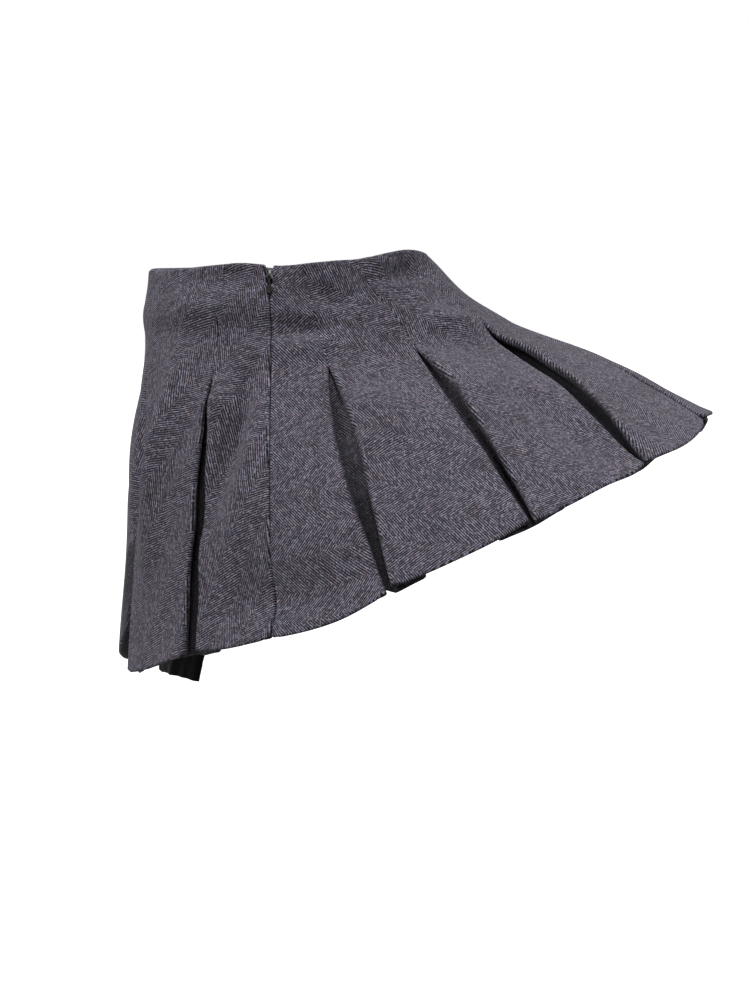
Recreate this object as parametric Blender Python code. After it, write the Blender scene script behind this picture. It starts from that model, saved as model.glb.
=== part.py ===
"""Pleated mini skirt: cloth panels, inverted box pleats, side zip and lining.

The skirt is filled out as if worn, and nobody is inside it.  X points to the
wearer's left, Y to the back and Z up.  The origin is the middle of the waist,
where the skirt is held.  All lengths are in metres.

The cloth is one form, run through four rings (waist, hip, thigh and hem) and
divided by lines that go down it: the pleats and the two side seams.  Every
solid is laid on that form by three values: how far round, how far down, and
how deep inside it.
"""
import math
from typing import NamedTuple

import bmesh
import bpy
from mathutils import Matrix, Vector


class Ring(NamedTuple):
    """One section of the skirt: an ellipse with four half-widths of its own."""

    share: float    # how far down the cloth, from 0 at the waist to 1 at the hem
    mid_x: float
    mid_y: float
    mid_z: float
    left: float
    right: float
    front: float
    back: float
    lean: float     # rise towards the back, in metres for each metre
    droop: float    # how much lower the right side hangs


class Line(NamedTuple):
    """A pleat or a side seam, by its angle round each ring, left side first."""

    name: str
    kind: str
    waist: float
    hip: float
    thigh: float
    hem: float
    longer: float   # how much further than the hem ring the cloth reaches here
    gap: float      # how far the pleat opens half way down
    hem_gap: float  # how far it is still open at the hem
    drop: float     # how far the pleat's back hangs below the panels, or less than 0


RINGS = (
    #    share   mid_x   mid_y   mid_z   left    right   front   back    lean    droop
    Ring(0.00,   0.000,  0.000,  0.000,  0.109,  0.109,  0.106,  0.108,  0.018,  0.000),
    Ring(0.29,   0.001,  0.003, -0.072,  0.147,  0.144,  0.115,  0.173,  0.100,  0.002),
    Ring(0.63,   0.029,  0.050, -0.136,  0.190,  0.190,  0.175,  0.201,  0.275,  0.022),
    Ring(1.00,   0.060,  0.105, -0.200,  0.230,  0.235,  0.238,  0.217,  0.410,  0.050),
)

PLEAT, SEAM = "pleat", "seam"
LINES = (
    #    name                 kind   waist  hip    thigh  hem    longer   gap     hem_gap drop
    Line("front_left_inner",  PLEAT, -65.0, -61.0, -64.0, -67.0, -0.0030, 0.0060, 0.0030, -0.004),
    Line("front_left_outer",  PLEAT, -17.0, -17.4, -34.0, -42.0, -0.0055, 0.0030, 0.0045, -0.002),
    Line("left_seam",         SEAM,    0.0,   0.0, -13.6, -24.6,  0.0030, 0.0000, 0.0000, 0.000),
    Line("back_left_outer",   PLEAT,  12.6,  15.0,   4.8,  -4.1,  0.0040, 0.0130, 0.0010, 0.001),
    Line("back_left_middle",  PLEAT,  35.6,  38.0,  29.3,  20.6,  0.0015, 0.0085, 0.0010, -0.001),
    Line("back_left_inner",   PLEAT,  62.5,  63.8,  57.0,  44.8,  0.0020, 0.0120, 0.0020, -0.002),
    Line("back_centre",       PLEAT,  90.0,  90.0,  81.0,  70.7,  0.0010, 0.0090, 0.0020, -0.001),
    Line("back_right_inner",  PLEAT, 117.0, 116.0, 105.5,  95.0, -0.0020, 0.0100, 0.0020, 0.001),
    Line("back_right_middle", PLEAT, 144.0, 142.0, 131.5, 121.0, -0.0020, 0.0110, 0.0015, 0.001),
    Line("back_right_outer",  PLEAT, 167.0, 165.0, 156.5, 148.0,  0.0020, 0.0090, 0.0020, 0.001),
    Line("right_seam",        SEAM,  180.0, 180.0, 174.0, 168.0,  0.0010, 0.0000, 0.0000, 0.000),
    Line("front_right_outer", PLEAT, 197.0, 197.4, 195.0, 190.0, -0.0040, 0.0060, 0.0040, -0.001),
    Line("front_right_inner", PLEAT, 245.0, 241.0, 243.0, 245.0, -0.0020, 0.0050, 0.0030, -0.003),
)
LEFT_SEAM = 2
RIGHT_SEAM = 10

PANELS = (
    "panel_front_left", "panel_front_left_side", "panel_back_left_side",
    "panel_back_left_outer", "panel_back_left_inner", "panel_back_left_centre",
    "panel_back_right_centre", "panel_back_right_inner", "panel_back_right_outer",
    "panel_back_right_side", "panel_front_right_side", "panel_front_right",
    "panel_front_centre",
)

CLOTH_LENGTH = 0.290        # waist edge to hem, along the cloth
CLOTH = 0.0016              # thickness of the wool
SEAM_GAP = 0.0003           # between pieces that are sewn edge to edge
ROWS = (0.0, 0.08, 0.18, 0.29, 0.40, 0.52, 0.64, 0.82, 1.0)
PROBE = 0.01                # the step, round and down, that finds the form's slopes
LEAST_COLUMNS = 4           # facets across a panel, more where it is wide
COLUMN_WIDTH = 0.021

RELEASE = 0.27              # the pleats are sewn shut down to here
SWELL_SKEW = 0.85           # below 1, a pleat gapes most nearer to the release
FOLD_RADIUS = 0.0012        # of a pressed fold, and half the spacing of two layers
OPEN_RADIUS = 0.0042        # of the front folds where the widest pleat gapes
WIDEST_GAP = 0.0130
FOLD_NOSE = 0.2             # the corners of a front fold, in its own radius: how far
FOLD_SHOULDER = 0.4         # they lie behind the fold's nose, and behind the panel
SHARPEST_MITRE = 0.6        # least cosine between a corner's mitre and its sides
TUCK_WAIST = 0.010          # how far a pleat reaches back behind its panels
TUCK_HEM = 0.0245

ZIP_END = 0.64              # the share of the cloth where the zip ends
ZIP_TAPE_HALF = 0.0070
ZIP_TAPE = 0.0008
ZIP_COIL_HALF = 0.0016
ZIP_COIL = 0.0012
ZIP_MOUTH = 0.0056          # the seam is this wide open round the slider
ZIP_NOTCH = 0.0014          # and this much wider at the waist edge
MOUTH_ROWS = (0.012, 0.052, 0.064)  # the notch ends, the mouth closes, it is shut

LINING = 0.0010
LINING_DEPTH_WAIST = 0.0068
LINING_DEPTH_HEM = 0.0200   # reached at this share of the cloth:
LINING_DEEPENED = 0.71
LINING_FREE = 0.20          # the front of the lining hangs free from this share down
LINING_BACK_SHARE = 0.80    # the back of the lining ends here, on the skirt's form
LINING_SLIT = 0.36          # the side slits run from here down
LINING_SLIT_OPEN = 0.08     # metres, for each unit of share below their top
LINING_GAP = 0.0005         # between the two halves, above the slits
LINING_TUBE = Ring(1.0, 0.008, -0.022, -0.308, 0.120, 0.098, 0.088, 0.088, 0.0, 0.0)
LINING_TUBE_ARC = (205, 329)        # of the front of the lining, at its hem
LINING_ROWS = (0.0, 0.12, 0.24, 0.36, 0.50, 0.65, 0.80, 1.0)
LINING_COLUMNS = 12

SLIDER_WIDTH = 0.0046
SLIDER_HEIGHT = 0.0080
SLIDER_THICKNESS = 0.0024
SLIDER_DROP = 0.0100        # waist edge to the middle of the slider
SLIDER_PROUD = 0.0008       # from the outside of the cloth to the slider's face
BAR_DROP = 0.0026           # middle of the slider to the bar that holds the pull
BAR_RADIUS = 0.00045
BAR_SIDES = 12
BAR_LIFT = 0.0018           # from the slider's face to the middle of the bar
BAR_COVER = 0.0004          # metal of the ears outside the bar
EAR_THICKNESS = 0.0008
EAR_HEIGHT = 0.0020
ROOT = 0.0006               # how far an ear is rooted in the slider's body
EYE_HOLE = 0.00085
EYE_RADIUS = 0.00145
EYE_WIDTH = 0.0020
EYE_SIDES = 16
PULL_LENGTH = 0.0132
PULL_NECK = 0.0016
PULL_NECK_END = 0.0040      # from the bar down to where the neck widens
PULL_WIDTH = 0.0046
PULL_THICKNESS = 0.0010
PULL_STEPS = 8              # facets round the pull's end


def ring_point(ring, degrees):
    """Return the point of a ring at an angle from the wearer's left."""
    angle = math.radians(degrees)
    cosine, sine = math.cos(angle), math.sin(angle)
    side = ring.right + (ring.left - ring.right) * (1 + cosine) / 2
    depth = ring.front + (ring.back - ring.front) * (1 + sine) / 2
    sag = ring.droop * ((1 - cosine) / 2) ** 2
    return Vector((ring.mid_x + side * cosine,
                   ring.mid_y + depth * sine,
                   ring.mid_z + ring.lean * depth * sine - sag))


def line_values(number):
    """Return the angles round the four rings, and the added length, at a line."""
    turns, index = divmod(number, len(LINES))
    line = LINES[index]
    angles = [angle + 360 * turns for angle in (line.waist, line.hip, line.thigh, line.hem)]
    return angles + [line.longer]


def values_at(around):
    """Return the same five values at a place between two lines."""
    low = math.floor(around)
    part = around - low
    return [a + (b - a) * part for a, b in zip(line_values(low), line_values(low + 1))]


def form_point(around, share):
    """Return a point of the skirt's form, on a smooth curve through the rings."""
    *angles, longer = values_at(around)
    points = [ring_point(ring, angle) for ring, angle in zip(RINGS, angles)]
    points[-1] += (points[-1] - points[-2]).normalized() * longer
    knots = [ring.share for ring in RINGS]
    slopes = [(points[1] - points[0]) / (knots[1] - knots[0])]
    for i in range(1, len(knots) - 1):
        slopes.append((points[i + 1] - points[i - 1]) / (knots[i + 1] - knots[i - 1]))
    slopes.append((points[-1] - points[-2]) / (knots[-1] - knots[-2]))
    span = max(i for i in range(len(knots) - 1) if i == 0 or knots[i] <= share)
    if share > 1:
        return points[-1] + slopes[-1] * (share - 1)
    width = knots[span + 1] - knots[span]
    t = (share - knots[span]) / width
    return (points[span] * (2 * t ** 3 - 3 * t ** 2 + 1)
            + slopes[span] * width * (t ** 3 - 2 * t ** 2 + t)
            + points[span + 1] * (3 * t ** 2 - 2 * t ** 3)
            + slopes[span + 1] * width * (t ** 3 - t ** 2))


def form_axes(around, share):
    """Return unit vectors round, down and out of the form at one place."""
    across = form_point(around + PROBE, share) - form_point(around - PROBE, share)
    down = form_point(around, share + PROBE) - form_point(around, max(share - PROBE, 0))
    out = down.cross(across).normalized()
    return across.normalized(), down.normalized(), out


def laid(around, share, depth):
    """Return the point at a depth behind the form."""
    return form_point(around, share) - form_axes(around, share)[2] * depth


def beside(index, across, share):
    """Return the place at a distance to one side of a line."""
    neighbour = index + (1 if across > 0 else -1)
    width = (form_point(neighbour, share) - form_point(index, share)).length
    return index + across / width


def opening(line, share):
    """Return how wide a pleat is open and how far its front folds are swollen."""
    t = max(0.0, (share - RELEASE) / (1 - RELEASE))
    swell = math.sin(math.pi * min(t, 1.0) ** SWELL_SKEW)
    gap = SEAM_GAP + line.gap * swell + line.hem_gap * t
    return gap, swell * line.gap / WIDEST_GAP


def fold_radius(line, share):
    """Return the radius of a pleat's front folds."""
    return FOLD_RADIUS + (OPEN_RADIUS - FOLD_RADIUS) * opening(line, share)[1]


def zip_mouth(share):
    """Return half the width of the left seam, which opens round the slider."""
    notch_end, open_end, shut = MOUTH_ROWS
    notch = ZIP_NOTCH / 2 * max(0.0, 1 - share / notch_end)
    still_open = min(1.0, max(0.0, (shut - share) / (shut - open_end)))
    return SEAM_GAP / 2 + (ZIP_MOUTH - SEAM_GAP) / 2 * still_open + notch


def panel_inset(index, share):
    """Return how far a panel's edge lies from the line beside it."""
    line = LINES[index % len(LINES)]
    if line.kind == PLEAT:
        return opening(line, share)[0] / 2 + fold_radius(line, share) + CLOTH / 2 + SEAM_GAP
    if line.name == "left_seam":
        return zip_mouth(share)
    return SEAM_GAP / 2


def grid_solid(name, outer, inner):
    """Build a closed wall from two grids of points with the same rows and columns."""
    rows, columns = len(outer), len(outer[0])
    mesh_build = bmesh.new()
    sheets = [[[mesh_build.verts.new(point) for point in row] for row in grid]
              for grid in (outer, inner)]
    for r in range(rows - 1):
        for c in range(columns - 1):
            for sheet in sheets:
                mesh_build.faces.new((sheet[r][c], sheet[r + 1][c],
                                      sheet[r + 1][c + 1], sheet[r][c + 1]))
    border = [(0, c) for c in range(columns)]
    border += [(r, columns - 1) for r in range(1, rows)]
    border += [(rows - 1, c) for c in range(columns - 2, -1, -1)]
    border += [(r, 0) for r in range(rows - 2, 0, -1)]
    for (r0, c0), (r1, c1) in zip(border, border[1:] + border[:1]):
        mesh_build.faces.new((sheets[0][r0][c0], sheets[0][r1][c1],
                              sheets[1][r1][c1], sheets[1][r0][c0]))
    return add_object(name, mesh_build)


def swept_solid(name, sections):
    """Build a closed solid from outlines that all have the same number of points."""
    mesh_build = bmesh.new()
    loops = [[mesh_build.verts.new(point) for point in section] for section in sections]
    count = len(loops[0])
    for upper, lower in zip(loops, loops[1:]):
        for i in range(count):
            j = (i + 1) % count
            mesh_build.faces.new((upper[i], lower[i], lower[j], upper[j]))
    for loop in (loops[0], loops[-1]):
        for i in range(count // 2 - 1):
            mesh_build.faces.new((loop[i], loop[i + 1],
                                  loop[count - 2 - i], loop[count - 1 - i]))
    return add_object(name, mesh_build)


def add_object(name, mesh_build):
    """Turn a bmesh into an object whose faces point outwards."""
    bmesh.ops.recalc_face_normals(mesh_build, faces=mesh_build.faces)
    mesh = bpy.data.meshes.new(name)
    mesh_build.to_mesh(mesh)
    mesh_build.free()
    item = bpy.data.objects.new(name, mesh)
    bpy.context.scene.collection.objects.link(item)
    return item


def paint(item, colour, roughness, metallic=0.0):
    """Give an object a material of its own."""
    material = bpy.data.materials.new(item.name)
    material.use_nodes = True
    shader = material.node_tree.nodes["Principled BSDF"]
    shader.inputs["Base Color"].default_value = (*colour, 1.0)
    shader.inputs["Roughness"].default_value = roughness
    shader.inputs["Metallic"].default_value = metallic
    item.data.materials.append(material)


WOOL = (0.096, 0.088, 0.106)
WOOL_SHADE = (0.070, 0.064, 0.078)
BLACK = (0.006, 0.006, 0.007)
GUNMETAL = (0.060, 0.060, 0.065)


def make_panel(index):
    """Build the cloth between one line and the next."""
    outer, inner = [], []
    hem_width = (form_point(index + 1, 1) - form_point(index, 1)).length
    columns = max(LEAST_COLUMNS, round(hem_width / COLUMN_WIDTH))
    beside_zip = LEFT_SEAM in (index, index + 1)
    for share in sorted(ROWS + MOUTH_ROWS) if beside_zip else ROWS:
        start = beside(index, panel_inset(index, share), share)
        end = beside(index + 1, -panel_inset(index + 1, share), share)
        places = [start + (end - start) * c / columns for c in range(columns + 1)]
        outer.append([laid(place, share, -CLOTH / 2) for place in places])
        inner.append([laid(place, share, CLOTH / 2) for place in places])
    panel = grid_solid(PANELS[index], outer, inner)
    paint(panel, WOOL, 0.9)


def pleat_line(line, share):
    """Return the middle of a pleat's cloth as (across, depth), left half first."""
    radius = fold_radius(line, share)
    front = opening(line, share)[0] / 2 + CLOTH / 2
    tuck = TUCK_WAIST + (TUCK_HEM - TUCK_WAIST) * min(share, 1.0)
    nose = -front - radius * FOLD_NOSE
    left = [(-front - radius, 0.0),
            (nose, radius * FOLD_SHOULDER),
            (nose, radius * (2 - FOLD_SHOULDER)),
            (-front - radius, radius * 2),
            (-tuck, radius * 2),
            (-tuck, radius * 2 + FOLD_RADIUS * 2)]
    return left + [(-across, depth) for across, depth in reversed(left)]


def thicken(points, thickness):
    """Return the closed outline of a strip whose two ends lie level."""
    sides = ([], [])
    level = Vector((1, 0))
    line = [Vector(point) for point in points]
    for i, here in enumerate(line):
        at_end = i in (0, len(line) - 1)
        before = level if at_end else (here - line[i - 1]).normalized()
        after = level if at_end else (line[i + 1] - here).normalized()
        normal_in = Vector((-before.y, before.x))
        normal_out = Vector((-after.y, after.x))
        mitre = (normal_in + normal_out).normalized()
        reach = thickness / 2 / max(mitre.dot(normal_out), SHARPEST_MITRE)
        sides[0].append(here + mitre * reach)
        sides[1].append(here - mitre * reach)
    return sides[0] + sides[1][::-1]


def make_pleat(index):
    """Build the cloth folded behind the panels at one pleat."""
    line = LINES[index]
    sections = []
    for share in ROWS[:-1] + (1 + line.drop / CLOTH_LENGTH,):
        outline = thicken(pleat_line(line, min(share, 1)), CLOTH)
        sections.append([laid(beside(index, across, share), share, depth)
                         for across, depth in outline])
    pleat = swept_solid("pleat_" + line.name, sections)
    paint(pleat, WOOL_SHADE, 0.95)


def make_zip_tape():
    """Build the zip's tape and closed coil, behind the left seam."""
    near = CLOTH / 2 + SEAM_GAP
    far = near + ZIP_TAPE
    outline = [(-ZIP_TAPE_HALF, near), (ZIP_TAPE_HALF, near), (ZIP_TAPE_HALF, far),
               (ZIP_COIL_HALF, far), (ZIP_COIL_HALF, far + ZIP_COIL),
               (-ZIP_COIL_HALF, far + ZIP_COIL), (-ZIP_COIL_HALF, far), (-ZIP_TAPE_HALF, far)]
    shares = [share for share in sorted(ROWS + MOUTH_ROWS) if 0 < share <= ZIP_END]
    sections = [[laid(beside(LEFT_SEAM, across, share), share, depth)
                 for across, depth in outline] for share in shares]
    tape = swept_solid("zip_tape", sections)
    paint(tape, BLACK, 0.8)


def lining_depth(share):
    """Return how far the lining lies behind the form."""
    part = min(1.0, share / LINING_DEEPENED)
    return LINING_DEPTH_WAIST + (LINING_DEPTH_HEM - LINING_DEPTH_WAIST) * part


def lining_front_point(part, share, depth):
    """Return a point of the lining's front, which lets go of the form and hangs."""
    first = beside(RIGHT_SEAM, LINING_GAP / 2, share)
    last = beside(LEFT_SEAM + len(LINES), -LINING_GAP / 2, share)
    around = first + (last - first) * part
    on_form = laid(around, share, lining_depth(share) + depth)
    start, end = LINING_TUBE_ARC
    hem = ring_point(LINING_TUBE, start + (end - start) * part)
    outward = Vector((hem.x, hem.y - LINING_TUBE.mid_y, 0)).normalized()
    top = laid(around, 0, LINING_DEPTH_WAIST + depth)
    hanging = top.lerp(hem - outward * depth, share)
    free = max(0.0, (share - LINING_FREE) / (1 - LINING_FREE))
    return on_form.lerp(hanging, free * free * (3 - 2 * free))


def lining_back_point(part, share, depth):
    """Return a point of the lining's back, which swings with the skirt."""
    open_slit = LINING_SLIT_OPEN * max(0.0, share - LINING_SLIT)
    first = beside(LEFT_SEAM, LINING_GAP / 2 + open_slit, share)
    last = beside(RIGHT_SEAM, -LINING_GAP / 2 - open_slit, share)
    around = first + (last - first) * part
    return laid(around, share, lining_depth(share) + depth)


def make_lining(name, point_at, last_share):
    """Build one half of the lining."""
    parts = [c / LINING_COLUMNS for c in range(LINING_COLUMNS + 1)]
    shares = [share for share in LINING_ROWS if share <= last_share]
    sheets = [[[point_at(part, share, depth) for part in parts] for share in shares]
              for depth in (0.0, LINING)]
    lining = grid_solid(name, *sheets)
    paint(lining, BLACK, 0.6)


def zip_frame():
    """Return the slider's place: X out of the cloth, Y across it, Z up it."""
    share = SLIDER_DROP / CLOTH_LENGTH
    _, down, out = form_axes(LEFT_SEAM, share)
    up = -down
    frame = Matrix((out, up.cross(out), up)).transposed().to_4x4()
    return Matrix.Translation(form_point(LEFT_SEAM, share)) @ frame


def block(name, size, centre):
    """Build a box from its size and centre."""
    mesh_build = bmesh.new()
    bmesh.ops.create_cube(mesh_build, size=1.0)
    bmesh.ops.scale(mesh_build, vec=size, verts=mesh_build.verts)
    bmesh.ops.translate(mesh_build, vec=centre, verts=mesh_build.verts)
    return add_object(name, mesh_build)


def rod(name, radius, length, centre, sides):
    """Build a cylinder that lies along Y."""
    mesh_build = bmesh.new()
    bmesh.ops.create_cone(mesh_build, cap_ends=True, segments=sides, radius1=radius,
                          radius2=radius, depth=length,
                          matrix=Matrix.Translation(centre) @ Matrix.Rotation(math.pi / 2, 4, "X"))
    return add_object(name, mesh_build)


def combine(item, others, operation):
    """Join other solids to one, or cut them out of it, and remove them."""
    for other in others:
        modifier = item.modifiers.new(other.name, "BOOLEAN")
        modifier.operation = operation
        modifier.solver = "EXACT"
        modifier.object = other
        bpy.context.view_layer.update()
        graph = bpy.context.evaluated_depsgraph_get()
        result = bpy.data.meshes.new_from_object(item.evaluated_get(graph))
        item.modifiers.clear()
        item.data = result
        bpy.data.objects.remove(other)
    item.data.name = item.name


def bar_centre():
    """Return the middle of the slider's bar, in the slider's own axes."""
    return Vector((CLOTH / 2 + SLIDER_PROUD + BAR_LIFT, 0.0, -BAR_DROP))


def make_slider(frame):
    """Build the slider: a body in the seam's mouth, with a bar on two ears."""
    bar = bar_centre()
    face = bar.x - BAR_LIFT
    slider = block("zip_slider", (SLIDER_THICKNESS, SLIDER_WIDTH, SLIDER_HEIGHT),
                   (face - SLIDER_THICKNESS / 2, 0, 0))
    reach = ROOT + BAR_LIFT + BAR_RADIUS + BAR_COVER
    ears = [block("ear", (reach, EAR_THICKNESS, EAR_HEIGHT),
                  (face - ROOT + reach / 2, side * (SLIDER_WIDTH - EAR_THICKNESS) / 2, bar.z))
            for side in (-1, 1)]
    pin = rod("pin", BAR_RADIUS, SLIDER_WIDTH - EAR_THICKNESS, bar, BAR_SIDES)
    combine(slider, ears + [pin], "UNION")
    slider.matrix_world = frame
    paint(slider, GUNMETAL, 0.35, 0.9)


def make_pull(frame):
    """Build the pull tab: an eye on the bar and a drop-shaped plate below it."""
    bar = bar_centre()
    top = -(EYE_HOLE + EYE_RADIUS) / 2
    centre = -PULL_LENGTH + PULL_WIDTH / 2
    outline = [(-PULL_NECK / 2, top), (-PULL_NECK / 2, -PULL_NECK_END)]
    for step in range(PULL_STEPS + 1):
        angle = math.pi * (1 + step / PULL_STEPS)
        outline.append((math.cos(angle) * PULL_WIDTH / 2, centre + math.sin(angle) * PULL_WIDTH / 2))
    outline += [(PULL_NECK / 2, -PULL_NECK_END), (PULL_NECK / 2, top)]
    mesh_build = bmesh.new()
    sheets = [[mesh_build.verts.new((x, y, z)) for y, z in outline]
              for x in (-PULL_THICKNESS / 2, PULL_THICKNESS / 2)]
    for sheet in sheets:
        mesh_build.faces.new(sheet)
    for i in range(len(outline)):
        j = (i + 1) % len(outline)
        mesh_build.faces.new((sheets[0][i], sheets[0][j], sheets[1][j], sheets[1][i]))
    pull = add_object("zip_pull", mesh_build)
    combine(pull, [rod("eye", EYE_RADIUS, EYE_WIDTH, (0, 0, 0), EYE_SIDES)], "UNION")
    combine(pull, [rod("hole", EYE_HOLE, EYE_WIDTH * 2, (0, 0, 0), EYE_SIDES)], "DIFFERENCE")
    pull.matrix_world = frame @ Matrix.Translation(bar)
    paint(pull, BLACK, 0.4, 0.3)


def main():
    """Clear the scene and build the skirt."""
    for item in list(bpy.data.objects):
        bpy.data.objects.remove(item)
    for index, line in enumerate(LINES):
        make_panel(index)
        if line.kind == PLEAT:
            make_pleat(index)
    make_zip_tape()
    make_lining("lining_front", lining_front_point, 1.0)
    make_lining("lining_back", lining_back_point, LINING_BACK_SHARE)
    frame = zip_frame()
    make_slider(frame)
    make_pull(frame)


main()
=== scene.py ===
"""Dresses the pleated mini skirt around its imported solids.

X points to the wearer's left, Y to the back and Z up, in metres, as in the solids.
Every piece of cloth is laid on one form, by three values: how far round (a number
of lines), how far down (a share of the cloth's length) and how deep inside it.
"""
from __future__ import annotations

import logging
import math
from dataclasses import dataclass, field
from enum import Enum
from typing import Callable, Iterable, Sequence

import bmesh
import bpy
import numpy as np
from mathutils import Matrix, Vector


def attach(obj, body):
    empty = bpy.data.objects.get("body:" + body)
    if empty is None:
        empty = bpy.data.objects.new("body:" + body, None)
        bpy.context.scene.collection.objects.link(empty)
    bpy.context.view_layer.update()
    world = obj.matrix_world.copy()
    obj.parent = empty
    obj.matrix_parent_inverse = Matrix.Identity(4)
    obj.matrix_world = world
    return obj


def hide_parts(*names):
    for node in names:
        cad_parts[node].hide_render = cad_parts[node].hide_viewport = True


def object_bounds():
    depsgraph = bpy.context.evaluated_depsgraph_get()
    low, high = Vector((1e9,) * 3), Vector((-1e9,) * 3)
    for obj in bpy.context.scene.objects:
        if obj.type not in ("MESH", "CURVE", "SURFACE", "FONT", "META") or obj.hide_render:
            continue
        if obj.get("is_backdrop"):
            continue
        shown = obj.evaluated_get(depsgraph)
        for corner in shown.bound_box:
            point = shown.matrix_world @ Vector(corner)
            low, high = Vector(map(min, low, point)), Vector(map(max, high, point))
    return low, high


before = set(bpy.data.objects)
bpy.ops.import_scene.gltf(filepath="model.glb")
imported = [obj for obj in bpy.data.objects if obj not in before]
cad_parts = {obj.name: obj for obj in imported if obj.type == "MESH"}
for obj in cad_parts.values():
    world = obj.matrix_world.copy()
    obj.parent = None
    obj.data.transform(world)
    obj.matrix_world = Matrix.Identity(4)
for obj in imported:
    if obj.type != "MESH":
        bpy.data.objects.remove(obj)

Array = np.ndarray
Section = dict[str, np.ndarray]
Piece = bpy.types.Object
Socket = bpy.types.NodeSocket
Tree = bpy.types.NodeTree

LOG = logging.getLogger("skirt")
SKIRT_BODY = "skirt"
PULL_BODY = "zip_pull"


# --------------------------------------------------------------------------- form


class LineKind(Enum):
    """What runs down the cloth between two panels."""

    PLEAT = "pleat"
    SEAM = "seam"


@dataclass(frozen=True)
class Ring:
    """One section of the skirt: an ellipse with four half-widths of its own.

    The share is how far down the cloth it lies. Its plane leans down to the front, by
    lean for each metre of depth, and it droops towards the wearer's right.
    """

    share: float
    mid_x: float
    mid_y: float
    mid_z: float
    left: float
    right: float
    front: float
    back: float
    lean: float
    droop: float

    def points(self, degrees: Array) -> Array:
        """Gives points of the ring.

        Args:
            degrees: Angles from the wearer's left, towards the back.

        Returns:
            One point for each angle, on a new last axis.
        """
        angle = np.radians(degrees)
        cosine, sine = np.cos(angle), np.sin(angle)
        side = self.right + (self.left - self.right) * (1 + cosine) / 2
        depth = self.front + (self.back - self.front) * (1 + sine) / 2
        sag = self.droop * ((1 - cosine) / 2) ** 2
        return np.stack((self.mid_x + side * cosine,
                         self.mid_y + depth * sine,
                         self.mid_z + self.lean * depth * sine - sag), axis=-1)


@dataclass(frozen=True)
class Mouth:
    """How one pleat's mouth falls open, in metres, with pairs for before and after its line.

    release is the share where its stitching ends, gap its widest and hem_gap its width at
    the hem, bow how deep the cloth between its folds lies, lift how far each fold stands
    out, drop how far the cloth behind hangs below the hem, shift how far the open mouth
    lies from its line, to the back, and roll how full its folds are.
    """

    release: float
    gap: float
    hem_gap: float
    bow: float
    lift: tuple[float, float]
    drop: tuple[float, float]
    shift: float = 0.0
    roll: float = 0.7


@dataclass(frozen=True)
class Line:
    """A pleat or a side seam, by its angle round each ring, left side first.

    longer is how far below the last ring its cloth hangs. Only a pleat has a mouth.
    """

    name: str
    kind: LineKind
    angles: tuple[float, float, float, float]
    longer: float
    mouth: Mouth | None = None


RINGS = (
    Ring(0.00, 0.000, 0.000, 0.000, 0.109, 0.109, 0.106, 0.108, 0.018, 0.000),
    Ring(0.29, 0.001, 0.003, -0.072, 0.147, 0.144, 0.115, 0.173, 0.100, 0.002),
    Ring(0.63, 0.029, 0.050, -0.136, 0.190, 0.190, 0.175, 0.201, 0.275, 0.022),
    Ring(1.00, 0.060, 0.105, -0.200, 0.230, 0.235, 0.238, 0.217, 0.410, 0.050),
)
PLEAT, SEAM = LineKind.PLEAT, LineKind.SEAM
LINES = (
    Line("front_left_inner", PLEAT, (-65.0, -61.0, -64.0, -67.0), -0.0030,
         Mouth(0.28, 0.0120, 0.0100, 0.0090, (-0.012, 0.001), (-0.029, 0.000), 0.0030)),
    Line("front_left_outer", PLEAT, (-17.0, -18.6, -32.8, -42.0), -0.0055,
         Mouth(0.285, 0.0022, 0.0110, 0.0090, (0.001, 0.001), (-0.0015, 0.0005))),
    Line("left_seam", SEAM, (0.0, 0.0, -13.6, -24.6), 0.0030),
    Line("back_left_outer", PLEAT, (12.6, 15.0, 4.8, -4.1), 0.0040,
         Mouth(0.315, 0.0105, 0.0030, 0.0030, (0.000, 0.002), (-0.008, -0.0025), -0.0030, 0.6)),
    Line("back_left_middle", PLEAT, (35.6, 38.0, 29.3, 20.6), 0.0015,
         Mouth(0.295, 0.0062, 0.0020, 0.0050, (0.000, 0.002), (-0.004, -0.0038), -0.0030, 0.6)),
    Line("back_left_inner", PLEAT, (62.5, 63.8, 57.0, 44.8), 0.0020,
         Mouth(0.265, 0.0125, 0.0024, 0.0064, (0.000, 0.002), (-0.006, -0.005), -0.0060, 0.3)),
    Line("back_centre", PLEAT, (90.0, 90.0, 81.0, 70.7), 0.0010,
         Mouth(0.28, 0.0090, 0.0060, 0.0064, (0.001, -0.0014), (-0.004, -0.003))),
    Line("back_right_inner", PLEAT, (117.0, 116.0, 105.5, 95.0), -0.0020,
         Mouth(0.27, 0.0100, 0.0020, 0.0040, (0.002, 0.001), (-0.002, -0.003))),
    Line("back_right_middle", PLEAT, (144.0, 142.0, 131.5, 121.0), -0.0020,
         Mouth(0.29, 0.0110, 0.0015, 0.0050, (0.003, 0.001), (-0.003, -0.005))),
    Line("back_right_outer", PLEAT, (167.0, 165.0, 156.5, 148.0), 0.0020,
         Mouth(0.30, 0.0090, 0.0020, 0.0040, (0.002, 0.000), (-0.003, -0.005))),
    Line("right_seam", SEAM, (180.0, 180.0, 174.0, 168.0), 0.0010),
    Line("front_right_outer", PLEAT, (197.0, 197.4, 195.0, 190.0), -0.0040,
         Mouth(0.28, 0.0060, 0.0040, 0.0060, (0.001, 0.001), (-0.002, -0.004))),
    Line("front_right_inner", PLEAT, (245.0, 241.0, 243.0, 245.0), -0.0020,
         Mouth(0.27, 0.0070, 0.0050, 0.0050, (0.001, 0.001), (-0.003, -0.004))),
)
LEFT_SEAM = 2
RIGHT_SEAM = 10
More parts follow.
